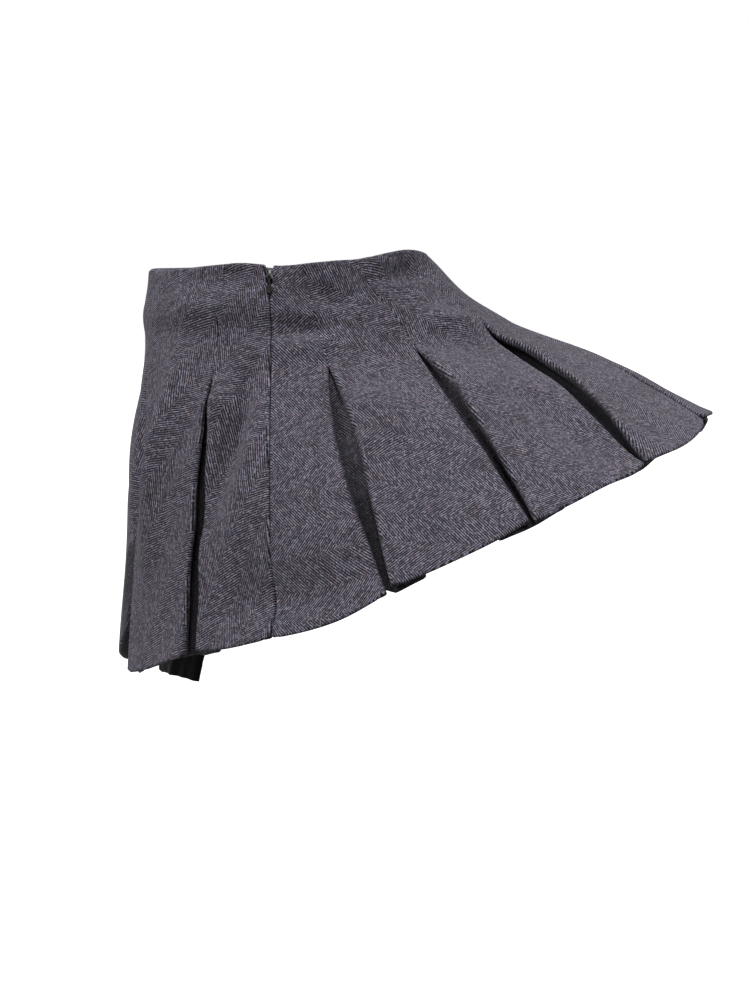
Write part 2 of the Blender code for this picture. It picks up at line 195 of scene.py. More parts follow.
PANELS = (
    "panel_front_left", "panel_front_left_side", "panel_back_left_side",
    "panel_back_left_outer", "panel_back_left_inner", "panel_back_left_centre",
    "panel_back_right_centre", "panel_back_right_inner", "panel_back_right_outer",
    "panel_back_right_side", "panel_front_right_side", "panel_front_right",
    "panel_front_centre",
)

# The cloth, in metres.
CLOTH_LENGTH = 0.290
CLOTH = 0.0016

# The gaps left in a pleat that is sewn shut and in the zip's seam, and how far the two
# turned edges of the other seam press into each other.
SEAM_GAP = 0.0003
SEWN_GAP = -0.00008

# The pleats: where most of them are let go and how they swell below that, their folds'
# radii shut and wide open, what is left of a fold and of its lap where it is sewn shut,
# and how far behind a line the folded cloth reaches.
RELEASE = 0.27
RELEASE_ABOVE, RELEASE_BELOW = 0.03, 0.07
SWELL_SKEW = 0.85
LIFT_SKEW = 0.8
WIDEST_GAP = 0.0130
FOLD_RADIUS = 0.0012
OPEN_RADIUS = 0.0042
SEWN_FOLD = 0.16
SEWN_LAP = 0.35
TUCK_WAIST = 0.010
TUCK_HEM = 0.0245

# The form: the step its slopes are measured with, in lines or in share, and the least
# length that is divided by.
PROBE = 0.01
TINY = 1e-9

# A crease's height at its ends, how fast it fades sideways, and how much of a ripple
# there is at the waist.
CREASE_ENDS = 0.35
CREASE_FADE = 2.2
RIPPLE_WAIST = 0.25

# How the waist edge sags on the right side, between two lines, and elsewhere in waves of
# (middle, width, drop), and the share where the cloth has forgotten it.
FAR_EDGE_DROP = 0.0095
FAR_EDGE = (6.4, 12.7)
EDGE_WAVES = ((2.9, 0.9, 0.0024), (5.3, 0.5, 0.0010), (0.2, 0.4, 0.0008), (1.3, 0.4, -0.0006))
EDGE_REACH = 0.22

# The zip's seam: the share where the zip ends, how wide it opens round the slider and at
# the notch above it, the shares where the notch, the opening and its taper end, and how
# far below the waist the slider sits.
ZIP_END = 0.64
ZIP_MOUTH = 0.0040
ZIP_NOTCH = 0.0036
MOUTH_ROWS = (0.020, 0.052, 0.066)
SLIDER_DROP = 0.0100


@dataclass(frozen=True)
class Crease:
    """A soft trough or ridge in the cloth, between two places (round, down).

    A height below nought is a trough. The width is from its middle to where it has
    nearly gone.
    """

    start: tuple[float, float]
    end: tuple[float, float]
    width: float
    height: float


@dataclass(frozen=True)
class Ripple:
    """One wave of the cloth's slight unevenness."""

    round_count: int
    down_count: float
    phase: float
    height: float


def smooth_step(value: Array, low: float, high: float) -> Array:
    """Rises smoothly from 0 at low to 1 at high."""
    part = np.clip((value - low) / (high - low), 0.0, 1.0)
    return part * part * (3 - 2 * part)


class SkirtForm:
    """The surface that all the cloth is laid on, with its creases in it."""

    def __init__(self, creases: Sequence[Crease], ripples: Sequence[Ripple]) -> None:
        """Reads the rings and lines into tables.

        Args:
            creases: The troughs and ridges in the cloth.
            ripples: The waves of its slight unevenness.
        """
        count = len(LINES)
        self.first = -count
        columns = []
        for number in range(self.first, 3 * count):
            turns, index = divmod(number, count)
            line = LINES[index]
            columns.append([angle + 360 * turns for angle in line.angles] + [line.longer])
        self.table = np.array(columns).T
        self.creases = tuple(creases)
        self.ripples = tuple(ripples)

    def ring_points(self, around: Array) -> list[Array]:
        """Gives the points where a line down the cloth crosses the four rings.

        Args:
            around: How far round, in lines.

        Returns:
            One array of points for each ring.
        """
        place = np.asarray(around, float) - self.first
        low = np.clip(np.floor(place).astype(int), 0, self.table.shape[1] - 2)
        part = place - low
        values = self.table[:, low] * (1 - part) + self.table[:, low + 1] * part
        points = [ring.points(values[i]) for i, ring in enumerate(RINGS)]
        last = points[-1] - points[-2]
        last /= np.linalg.norm(last, axis=-1, keepdims=True)
        points[-1] = points[-1] + last * values[-1][..., None]
        return points

    def point(self, around: Array, share: Array) -> Array:
        """Gives points of the form without its creases.

        Args:
            around: How far round, in lines.
            share: How far down, from 0 at the waist to 1 at the hem.

        Returns:
            The points, on a new last axis.
        """
        around, share = np.broadcast_arrays(np.asarray(around, float), np.asarray(share, float))
        points = self.ring_points(around)
        knots = [ring.share for ring in RINGS]
        last = len(knots) - 1
        slopes = []
        for i in range(len(knots)):
            low, high = max(i - 1, 0), min(i + 1, last)
            slopes.append((points[high] - points[low]) / (knots[high] - knots[low]))
        result = points[-1] + slopes[-1] * (share - 1)[..., None]
        for span in reversed(range(last)):
            width = knots[span + 1] - knots[span]
            t = ((share - knots[span]) / width)[..., None]
            curve = (points[span] * (2 * t ** 3 - 3 * t ** 2 + 1)
                     + slopes[span] * width * (t ** 3 - 2 * t ** 2 + t)
                     + points[span + 1] * (3 * t ** 2 - 2 * t ** 3)
                     + slopes[span + 1] * width * (t ** 3 - t ** 2))
            result = np.where((share <= knots[span + 1])[..., None], curve, result)
        return result

    def axes(self, around: Array, share: Array) -> tuple[Array, ...]:
        """Gives unit vectors round, down and out of the form.

        Args:
            around: How far round, in lines.
            share: How far down.

        Returns:
            The three directions.
        """
        share = np.maximum(share, 0.0)
        across = self.point(around + PROBE, share) - self.point(around - PROBE, share)
        down = self.point(around, share + PROBE) - self.point(around, np.maximum(share - PROBE, 0))
        out = np.cross(down, across)
        return tuple(v / np.linalg.norm(v, axis=-1, keepdims=True) for v in (across, down, out))

    def relief(self, around: Array, share: Array) -> Array:
        """Gives how far the creases and the unevenness stand out of the form.

        Args:
            around: How far round, in lines.
            share: How far down.

        Returns:
            The height of the cloth there, in metres.
        """
        around, share = np.broadcast_arrays(np.asarray(around, float), np.asarray(share, float))
        count = len(LINES)
        total = np.zeros(around.shape)
        for crease in self.creases:
            (a0, s0), (a1, s1) = crease.start, crease.end
            middle = np.array((a0 + a1) / 2), np.array((s0 + s1) / 2)
            pitch = float(np.linalg.norm(self.point(middle[0] + PROBE, middle[1])
                                         - self.point(middle[0] - PROBE, middle[1]))) / (2 * PROBE)
            run = np.array(((a1 - a0) * pitch, (s1 - s0) * CLOTH_LENGTH))
            turn = np.round((around - a0) / count) * count
            x = (around - turn - a0) * pitch
            y = (share - s0) * CLOTH_LENGTH
            along = np.clip((x * run[0] + y * run[1]) / max(run @ run, TINY), 0.0, 1.0)
            distance = np.hypot(x - along * run[0], y - along * run[1]) / crease.width
            fade = CREASE_ENDS + (1 - CREASE_ENDS) * np.sin(math.pi * along)
            total += crease.height * fade * np.exp(-CREASE_FADE * distance ** 2)
        for ripple in self.ripples:
            angle = 2 * math.pi * (ripple.round_count * around / count + ripple.down_count * share)
            grown = RIPPLE_WAIST + (1 - RIPPLE_WAIST) * share
            total += ripple.height * grown * np.sin(angle + ripple.phase)
        return total

    def laid(self, around: Array, share: Array, depth: Array) -> Array:
        """Lays points behind the creased form.

        Args:
            around: How far round, in lines.
            share: How far down.
            depth: How far behind the cloth's middle, in metres.

        Returns:
            The points.
        """
        around, share = np.broadcast_arrays(np.asarray(around, float), np.asarray(share, float))
        drop = self.edge_drop(around) / CLOTH_LENGTH
        share = share + drop * (1 - smooth_step(share, 0.0, EDGE_REACH))
        out = self.axes(around, share)[2]
        lift = self.relief(around, share) - depth
        return self.point(around, share) + out * lift[..., None]

    def edge_drop(self, around: Array) -> Array:
        """Gives how far the waist edge lies below its ring: it is lower on the right side.

        Args:
            around: How far round, in lines.

        Returns:
            The drop, in metres.
        """
        place = np.mod(around, len(LINES))
        start, end = FAR_EDGE
        low = np.clip((place - start) / (end - start), 0.0, 1.0)
        drop = FAR_EDGE_DROP * np.sin(math.pi * low) ** 2
        for centre, width, height in EDGE_WAVES:
            drop = drop + height * np.exp(-((place - centre) / width) ** 2)
        return drop

    def width(self, index: int, share: Array) -> Array:
        """Gives the straight distance from a line to the next one.

        Args:
            index: The line's number.
            share: How far down.

        Returns:
            The distance, in metres.
        """
        share = np.asarray(share, float)
        start = self.point(np.full(share.shape, float(index)), share)
        end = self.point(np.full(share.shape, float(index + 1)), share)
        return np.linalg.norm(end - start, axis=-1)

    def beside(self, index: int, across: Array, share: Array) -> Array:
        """Gives the place at a distance, in metres, to one side of a line.

        Args:
            index: The line's number.
            across: The distance, below nought before the line.
            share: How far down.

        Returns:
            How far round the place is, in lines.
        """
        ahead = self.width(index, share)
        behind = self.width(index - 1, share)
        return index + np.where(across > 0, across / ahead, across / behind)


def opening(mouth: Mouth, share: Array) -> tuple[Array, Array]:
    """Gives how wide a pleat is open, and how far its front folds are swollen.

    Args:
        mouth: The pleat's mouth.
        share: How far down.

    Returns:
        The width, in metres, and the swelling, from 0 to 1.
    """
    t = np.maximum(0.0, (share - mouth.release) / (1 - mouth.release))
    swell = np.sin(math.pi * np.minimum(t, 1.0) ** SWELL_SKEW)
    return SEAM_GAP + mouth.gap * swell + mouth.hem_gap * t, swell * mouth.gap / WIDEST_GAP


def tuck_depth(share: Array) -> Array:
    """Gives how far from its line a pleat's back fold lies."""
    return TUCK_WAIST + (TUCK_HEM - TUCK_WAIST) * share


def pinched(line: Line, share: Array) -> Array:
    """Gives how much of a fold is left where the pleat is sewn shut, from 0 to 1.

    Args:
        line: The pleat, or a seam, which keeps its fold.
        share: How far down.

    Returns:
        What is left of the fold.
    """
    if line.kind is not PLEAT:
        return np.ones(np.shape(share))
    freed = smooth_step(share, line.mouth.release - RELEASE_ABOVE,
                        line.mouth.release + RELEASE_BELOW)
    return SEWN_FOLD + (1 - SEWN_FOLD) * freed


def fold_lift(index: int, away: Array, share: Array, side: int) -> Array:
    """Gives how far a fold stands out of the form.

    Args:
        index: The line's number.
        away: Distance from the line.
        share: How far down.
        side: 1 after the line and -1 before it.

    Returns:
        The lift, in metres, which is nothing at the pleat's back fold.
    """
    line = LINES[index % len(LINES)]
    if line.kind is not PLEAT:
        return np.zeros(np.broadcast(away, share).shape)
    mouth = line.mouth
    t = np.clip((share - mouth.release) / (1 - mouth.release), 0.0, 1.0)
    height = mouth.lift[0 if side < 0 else 1] * np.sin(math.pi * t ** LIFT_SKEW)
    return height * (1 - smooth_step(away / tuck_depth(share), 0.0, 1.0))


def zip_mouth(share: Array) -> Array:
    """Gives half the width of the left seam, which opens round the slider.

    Args:
        share: How far down.

    Returns:
        Half the width, in metres.
    """
    notch_end, open_end, shut = MOUTH_ROWS
    notch = ZIP_NOTCH / 2 * np.maximum(0.0, 1 - share / notch_end)
    still_open = np.clip((shut - share) / (shut - open_end), 0.0, 1.0)
    return SEAM_GAP / 2 + (ZIP_MOUTH - SEAM_GAP) / 2 * still_open + notch


# --------------------------------------------------------------------------- meshes


# How far a cloth's rounded edge stands out, as a part of its thickness.
RIM = 0.42


def edge_loop(grid: Array) -> list[tuple[int, int]]:
    """Lists the border of a grid once round, from its first corner.

    Args:
        grid: The grid.

    Returns:
        The row and column of each point of the border.
    """
    rows, columns = grid.shape[:2]
    border = [(0, c) for c in range(columns)]
    border += [(r, columns - 1) for r in range(1, rows)]
    border += [(rows - 1, c) for c in range(columns - 2, -1, -1)]
    border += [(r, 0) for r in range(rows - 2, 0, -1)]
    return border


def shell(name: str, outer: Array, inner: Array, flat: Array,
          painted_shade: Array | None = None) -> Piece:
    """Builds a closed piece of cloth from its two faces, with a rounded edge.

    Args:
        name: The piece's name.
        outer: Points of the right side, by row and column.
        inner: Points of the wrong side, by row and column.
        flat: The same points on the cloth before it was sewn, in metres.
        painted_shade: How much painted shade each point gets, from 0 to 1.

    Returns:
        The piece.
    """
    rows, columns = outer.shape[:2]
    count = rows * columns
    border = edge_loop(outer)
    rim, rim_flat = [], []
    for r, c in border:
        nearer = outer[min(max(r, 1), rows - 2), min(max(c, 1), columns - 2)]
        away = outer[r, c] - nearer
        thick = np.linalg.norm(outer[r, c] - inner[r, c])
        rim.append((outer[r, c] + inner[r, c]) / 2
                   + away / max(np.linalg.norm(away), TINY) * thick * RIM)
        rim_flat.append(flat[r, c])
    points = np.concatenate((outer.reshape(-1, 3), inner.reshape(-1, 3), np.array(rim)))
    spread = np.concatenate((flat.reshape(-1, 2), flat.reshape(-1, 2), np.array(rim_flat)))
    numbers = np.arange(count).reshape(rows, columns)
    a, b = numbers[:-1, :-1], numbers[1:, :-1]
    c, d = numbers[1:, 1:], numbers[:-1, 1:]
    faces = np.concatenate((np.stack((a, b, c, d), -1).reshape(-1, 4),
                            np.stack((a, d, c, b), -1).reshape(-1, 4) + count)).tolist()
    last = len(border)
    for k in range(last):
        j = (k + 1) % last
        here, there = numbers[border[k]], numbers[border[j]]
        faces.append((here, there, 2 * count + j, 2 * count + k))
        faces.append((2 * count + k, 2 * count + j, there + count, here + count))
    mesh = bpy.data.meshes.new(name)
    mesh.from_pydata(points.tolist(), [], [[int(v) for v in face] for face in faces])
    mesh.update()
    layer = mesh.uv_layers.new(name="cloth")
    corners = np.zeros(len(mesh.loops), int)
    mesh.loops.foreach_get("vertex_index", corners)
    layer.data.foreach_set("uv", spread[corners].ravel().astype(np.float32))
    # Painted shade: a mask that darkens the cloth's colour in and beside its folds.
    if painted_shade is not None:
        mask = np.concatenate((painted_shade.ravel(), painted_shade.ravel(), [painted_shade[spot] for spot in border]))
        mesh.attributes.new("painted_shade", "FLOAT", "POINT").data.foreach_set(
            "value", mask.astype(np.float32))
    mesh.polygons.foreach_set("use_smooth", np.ones(len(mesh.polygons), bool))
    mesh.validate()
    piece = bpy.data.objects.new(name, mesh)
    bpy.context.scene.collection.objects.link(piece)
    return piece


def flat_size(middle: Array) -> tuple[float, float, float]:
    """Measures the cloth that a piece was cut from.

    Args:
        middle: Points of the cloth by row and column.

    Returns:
        Its widest width, its longest length and its area, in metres.
    """
    across = np.linalg.norm(np.diff(middle, axis=1), axis=-1)
    down = np.linalg.norm(np.diff(middle, axis=0), axis=-1)
    width, length = across.sum(axis=1).max(), down.sum(axis=0).max()
    cell = (across[:-1] + across[1:]) / 2 * (down[:, :-1] + down[:, 1:]) / 2
    return float(width), float(length), float(cell.sum())


def reach_point(a: Array, b: Array, from_a: Array, from_b: Array, side: float) -> Array:
    """Finds the point in a plane at two distances from two others.

    Args:
        a: The first known point, or a row of them.
        b: The second.
        from_a: The distance from the first.
        from_b: The distance from the second.
        side: 1 or -1, for the side of the line from a to b.

    Returns:
        The point, or the row of points.
    """
    line = b - a
    length = np.maximum(np.linalg.norm(line, axis=-1), TINY)
    ahead = line / length[..., None]
    aside = np.stack((-ahead[..., 1], ahead[..., 0]), axis=-1) * side
    x = (from_a ** 2 - from_b ** 2 + length ** 2) / (2 * length)
    y = np.sqrt(np.maximum(from_a ** 2 - x ** 2, 0.0))
    return a + ahead * x[..., None] + aside * y[..., None]


def unroll(grid: Array) -> Array:
    """Lays a curved grid of cloth flat, cell by cell, as it was before it was sewn.

    Args:
        grid: Points by row and column, rows going down.

    Returns:
        Flat places, X across and Y down, with the middle column's ends on one vertical.
    """
    rows, columns = grid.shape[:2]
    mid = columns // 2
    flat = np.zeros((rows, columns, 2))

    def gap(r0: int, c0: int, r1: int, c1: int) -> Array:
        """Measures from one point of the grid to another."""
        return np.asarray(np.linalg.norm(grid[r1, c1] - grid[r0, c0]))

    flat[0, mid + 1] = (gap(0, mid, 0, mid + 1), 0.0)
    for r in range(1, rows):
        flat[r, mid] = reach_point(flat[r - 1, mid], flat[r - 1, mid + 1],
                                   gap(r, mid, r - 1, mid), gap(r, mid, r - 1, mid + 1), 1.0)
        flat[r, mid + 1] = reach_point(flat[r - 1, mid + 1], flat[r, mid],
                                       gap(r, mid + 1, r - 1, mid + 1),
                                       gap(r, mid + 1, r, mid), -1.0)
    here = np.arange(rows)
    other = np.where(here < rows - 1, here + 1, here - 1)
    for step in (1, -1):
        stop = columns if step > 0 else -1
        for c in range(mid + (2 if step > 0 else -1), stop, step):
            near = c - step
            first = np.linalg.norm(grid[here, c] - grid[here, near], axis=-1)
            second = np.linalg.norm(grid[here, c] - grid[other, near], axis=-1)
            turned = reach_point(flat[here, near], flat[other, near], first, second, -step)
            turned[-1] = reach_point(flat[-1, near], flat[-2, near], first[-1:], second[-1:],
                                     step)[0]
            flat[:, c] = turned
    flat -= flat[0, mid]
    chord = flat[-1, mid] / np.linalg.norm(flat[-1, mid])
    level = np.array((chord[1], -chord[0]))
    return np.stack((flat @ level, flat @ chord), axis=-1)


@dataclass
class FlatCut:
    """Where a gore lies on the cloth it was cut from.

    The bands of its weave are turned by grain degrees from level, at its middle.
    """

    form: SkirtForm
    index: int
    grain: float
    start: tuple[float, float]
    columns: int = 11
    rows: int = 41

    def place(self, section: Section, share: Array, past: Array) -> Array:
        """Lays a gore's places flat.

        Args:
            section: The gore's cross-sections.
            share: How far down each row lies.
            past: How far each row has gone on past the waist edge, in metres.

        Returns:
            Places on the uncut cloth, X across the bands of the weave, Y along them.
        """
        shares = np.linspace(0.0, 1.0, self.rows)
        parts = np.linspace(0.0, 1.0, self.columns)
        around, down = np.meshgrid(self.index + parts, shares)
        flat = unroll(self.form.point(around, down))
        part = section["part"]
        row = np.broadcast_to(share[:, None] * (self.rows - 1), part.shape)
        row = np.clip(row, 0, self.rows - 1.001)
        column = np.clip(part * (self.columns - 1), 0, self.columns - 1.001)
        r, c = row.astype(int), column.astype(int)
        fr, fc = (row - r)[..., None], (column - c)[..., None]
        place = ((flat[r, c] * (1 - fc) + flat[r, c + 1] * fc) * (1 - fr)
                 + (flat[r + 1, c] * (1 - fc) + flat[r + 1, c + 1] * fc) * fr)
        across = flat[r, -1] - flat[r, 0]
        across /= np.linalg.norm(across, axis=-1, keepdims=True)
        half = section["width"] / 2
        over = section["arc"] - np.clip(section["arc"], -half, half)
        place = place + across * over[..., None]
        place[..., 1] -= past[:, None]
        return self.turned(place)

    def turned(self, place: Array) -> Array:
        """Turns flat places from the gore's axes to the weave's.

        Args:
            place: Places with the gore's X across and Y down.

        Returns:
            Places with X across the weave's bands and Y along them.
        """
        turn = math.radians(self.grain)
        x, y = place[..., 0], place[..., 1]
        return np.stack((x * math.sin(turn) + y * math.cos(turn) + self.start[0],
                         x * math.cos(turn) - y * math.sin(turn) + self.start[1]), axis=-1)


# --------------------------------------------------------------------------- cloth


@dataclass(frozen=True)
class WaistRoll:
    """How the cloth turns over the waist edge and down inside it.

    The roll starts and the facing ends at a share of the cloth's length, and inner_fold
    is what is left of the panel's own folds inside.
    """

    radius: float = 0.0036
    rise: float = 0.0030
    start: float = 0.0105
    facing_end: float = 0.034
    inner_fold: float = 0.12
    steps: int = 8
    facing_rows: int = 4

    def rows(self) -> tuple[Array, Array]:
        """Gives the rows from the facing's lower edge up to the outside of the cloth.

        Returns:
            The share and the angle turned through, of each row.
        """
        facing = np.linspace(self.facing_end, self.start, self.facing_rows)
        turns = np.linspace(math.pi, 0.0, self.steps + 1)[1:-1]
        shares = np.concatenate((facing, np.full(turns.shape, self.start)))
        return shares, np.concatenate((np.full(facing.shape, math.pi), turns))

    def place(self, share: Array, turn: Array, depth: Array) -> tuple[Array, Array]:
        """Rolls a layer of the cloth over the edge."""
        higher = self.rise * (1 - depth / self.radius) * np.sin(turn) / CLOTH_LENGTH
        return share - higher, self.radius - (self.radius - depth) * np.cos(turn)


@dataclass(frozen=True)
class Hem:
    """The turned-up hem: the cloth is thicker inside it, up to a faint step."""

    height: float = 0.031
    extra: float = 0.0007
    least_fold: float = 0.0016
    step: float = 0.004
    settle: float = 0.06

    @property
    def edge(self) -> float:
        """Gives the share where the hem starts."""
        return 1 - self.height / CLOTH_LENGTH

    def thickening(self, share: Array) -> Array:
        """Gives how much of the hem's extra thickness there is, from 0 to 1."""
        return smooth_step(share, self.edge - self.step, self.edge + self.step)

    def fold(self, radius: Array, share: Array) -> Array:
        """Gives the radius of a fold, which needs more room in the hem."""
        room = smooth_step(share, self.edge - self.settle, self.edge)
        return np.maximum(radius, radius + (self.least_fold - radius) * room)


@dataclass(frozen=True)
class Drape:
    """What is particular to one gore: its grain, and how its hem hangs.

    The grain is the slope of the weave's bands, in degrees, and the start their place.
    The scallop is how far the hem sags between its ends, and the ends how far each end
    hangs below its line's, in metres.
    """

    grain: float
    scallop: float
    start: tuple[float, float]
    ends: tuple[float, float] = (0.0, 0.0)


WAIST = WaistRoll()
HEM = Hem()

# The size of the cloth's cells and the distance of its last row from the edge.
CELL = 0.0030
EDGE_CELL = 0.0010

# The cloth behind an edge: how much of a pleat's tuck belongs to the panel, the least
# that is left of it, and the gap before the next piece; and a seam's own fold and
# allowance.
RETURN_SHARE = 0.45
LEAST_RETURN = 0.0018
LEAST_TURNED = 0.0008
JOIN_GAP = 0.0003
SEAM_ALLOWANCE = 0.0090
SEAM_FOLD = 0.00085

# How far a hem's corners are drawn up, over which distances across from the fold, and
# the shares where the hem starts to hang and where its corners start to round.
CORNER = 0.0014
CORNER_REACH = (-0.001, 0.006)
HANG_START = 0.55
CORNER_START = 0.94

# The least part of its width times its length that a piece's area is given as.
LEAST_FILL = 0.31

# Painted shade: cloth behind a fold is painted darker over this distance behind the fold,
# and over a further strip low down beside a fold that lies deeper than UNDERLAP.
SHADE_REACH = 0.0032
SHADED_EDGE = 0.016
SHADED_ROWS = (0.70, 0.76)
UNDERLAP = -0.005


def gore_name(index: int) -> str:
    """Gives the name of the gore that stands for a panel's solid."""
    return PANELS[index].replace("panel", "gore")


def body_rows(first: float) -> Array:
    """Gives the shares of the rows down the cloth, closer together at the hem's step.

    Args:
        first: The share of the first row.

    Returns:
        The shares, in order.
    """
    count = int(round((1 - first) * CLOTH_LENGTH / CELL))
    even = np.linspace(first, 1.0, count + 1)
    extra = (HEM.edge - HEM.step, HEM.edge, HEM.edge + HEM.step, 1 - EDGE_CELL / CLOTH_LENGTH)
    return np.unique(np.round(np.concatenate((even, extra)), 6))


def fold_of(index: int, share: Array, side: int) -> tuple[Array, ...]:
    """Gives the shape of a panel's edge beside a line.

    Args:
        index: The line's number.
        share: How far down.
        side: 1 for the panel after the line, and -1 for the one before it.

    Returns:
        How far from the line the fold's middle surface lies, the fold's radius, and
        how far from the line the cloth behind it reaches.
    """
    index %= len(LINES)
    line = LINES[index]
    if line.kind is PLEAT:
        mouth = line.mouth
        gap, swollen = opening(mouth, share)
        radius = FOLD_RADIUS + (OPEN_RADIUS - FOLD_RADIUS) * swollen * mouth.roll
        radius = HEM.fold(radius, share)
        lap = SEWN_LAP + (1 - SEWN_LAP) * pinched(line, share)
        wobble = EDGES.wobble(index, side, share)
        front = gap / 2 + CLOTH / 2 * lap + wobble + side * (mouth.shift * swollen)
        reach = np.maximum(front + radius + LEAST_RETURN, tuck_depth(share) * RETURN_SHARE)
        return front, radius, reach
    half = zip_mouth(share) if index == LEFT_SEAM else np.full(share.shape, SEWN_GAP / 2)
    radius = HEM.fold(np.full(share.shape, SEAM_FOLD), share)
    return half + CLOTH / 2, radius, half + SEAM_ALLOWANCE


@dataclass(frozen=True)
class EdgeWobble:
    """The small unevenness of the pressed fold edges, in metres.

    Each of its two waves has its count down the cloth, its part of the height and how
    much faster than the first its phase runs.
    """

    height: float = 0.00035
    waves: tuple[tuple[float, float, float], ...] = ((2.3, 1.0, 1.0), (5.1, 0.6, 2.1))
    line_phase: float = 1.7
    side_phase: float = 0.9
    full: float = 0.6

    def wobble(self, index: int, side: int, share: Array) -> Array:
        """Gives how far one fold edge strays from its place, more towards the hem.

        Args:
            index: The line's number.
            side: 1 after the line and -1 before it.
            share: How far down.

        Returns:
            The distance, in metres.
        """
        phase = self.line_phase * index + self.side_phase * side
        wave = sum(part * np.sin(2 * math.pi * count * share + faster * phase)
                   for count, part, faster in self.waves)
        return self.height * wave * smooth_step(share, RELEASE, self.full)


EDGES = EdgeWobble()


@dataclass(frozen=True)
class Edge:
    """A folded edge in every row: its line, its side, and what its cloth does there.

    Away is the distance from the line, depth the depth behind the form, and the normals
    are the wrong side's direction, across and deep.
    """

    number: int
    side: int
    away: Array
    depth: Array
    normal_across: Array
    normal_deep: Array


def beside_and_bent(even: Array | float, back: Array, bent: Array) -> Array:
    """Joins a value that is even along the cloth behind a fold to its values in the fold.

    Args:
        even: The value behind the fold.
        back: The places there, by row and column.
        bent: The values in the fold, for every row or for all rows alike.

    Returns:
        The values by row and column.
    """
    rows = back.shape[0]
    return np.concatenate((np.broadcast_to(even, back.shape),
                           np.broadcast_to(bent, (rows, bent.shape[-1]))), axis=1)


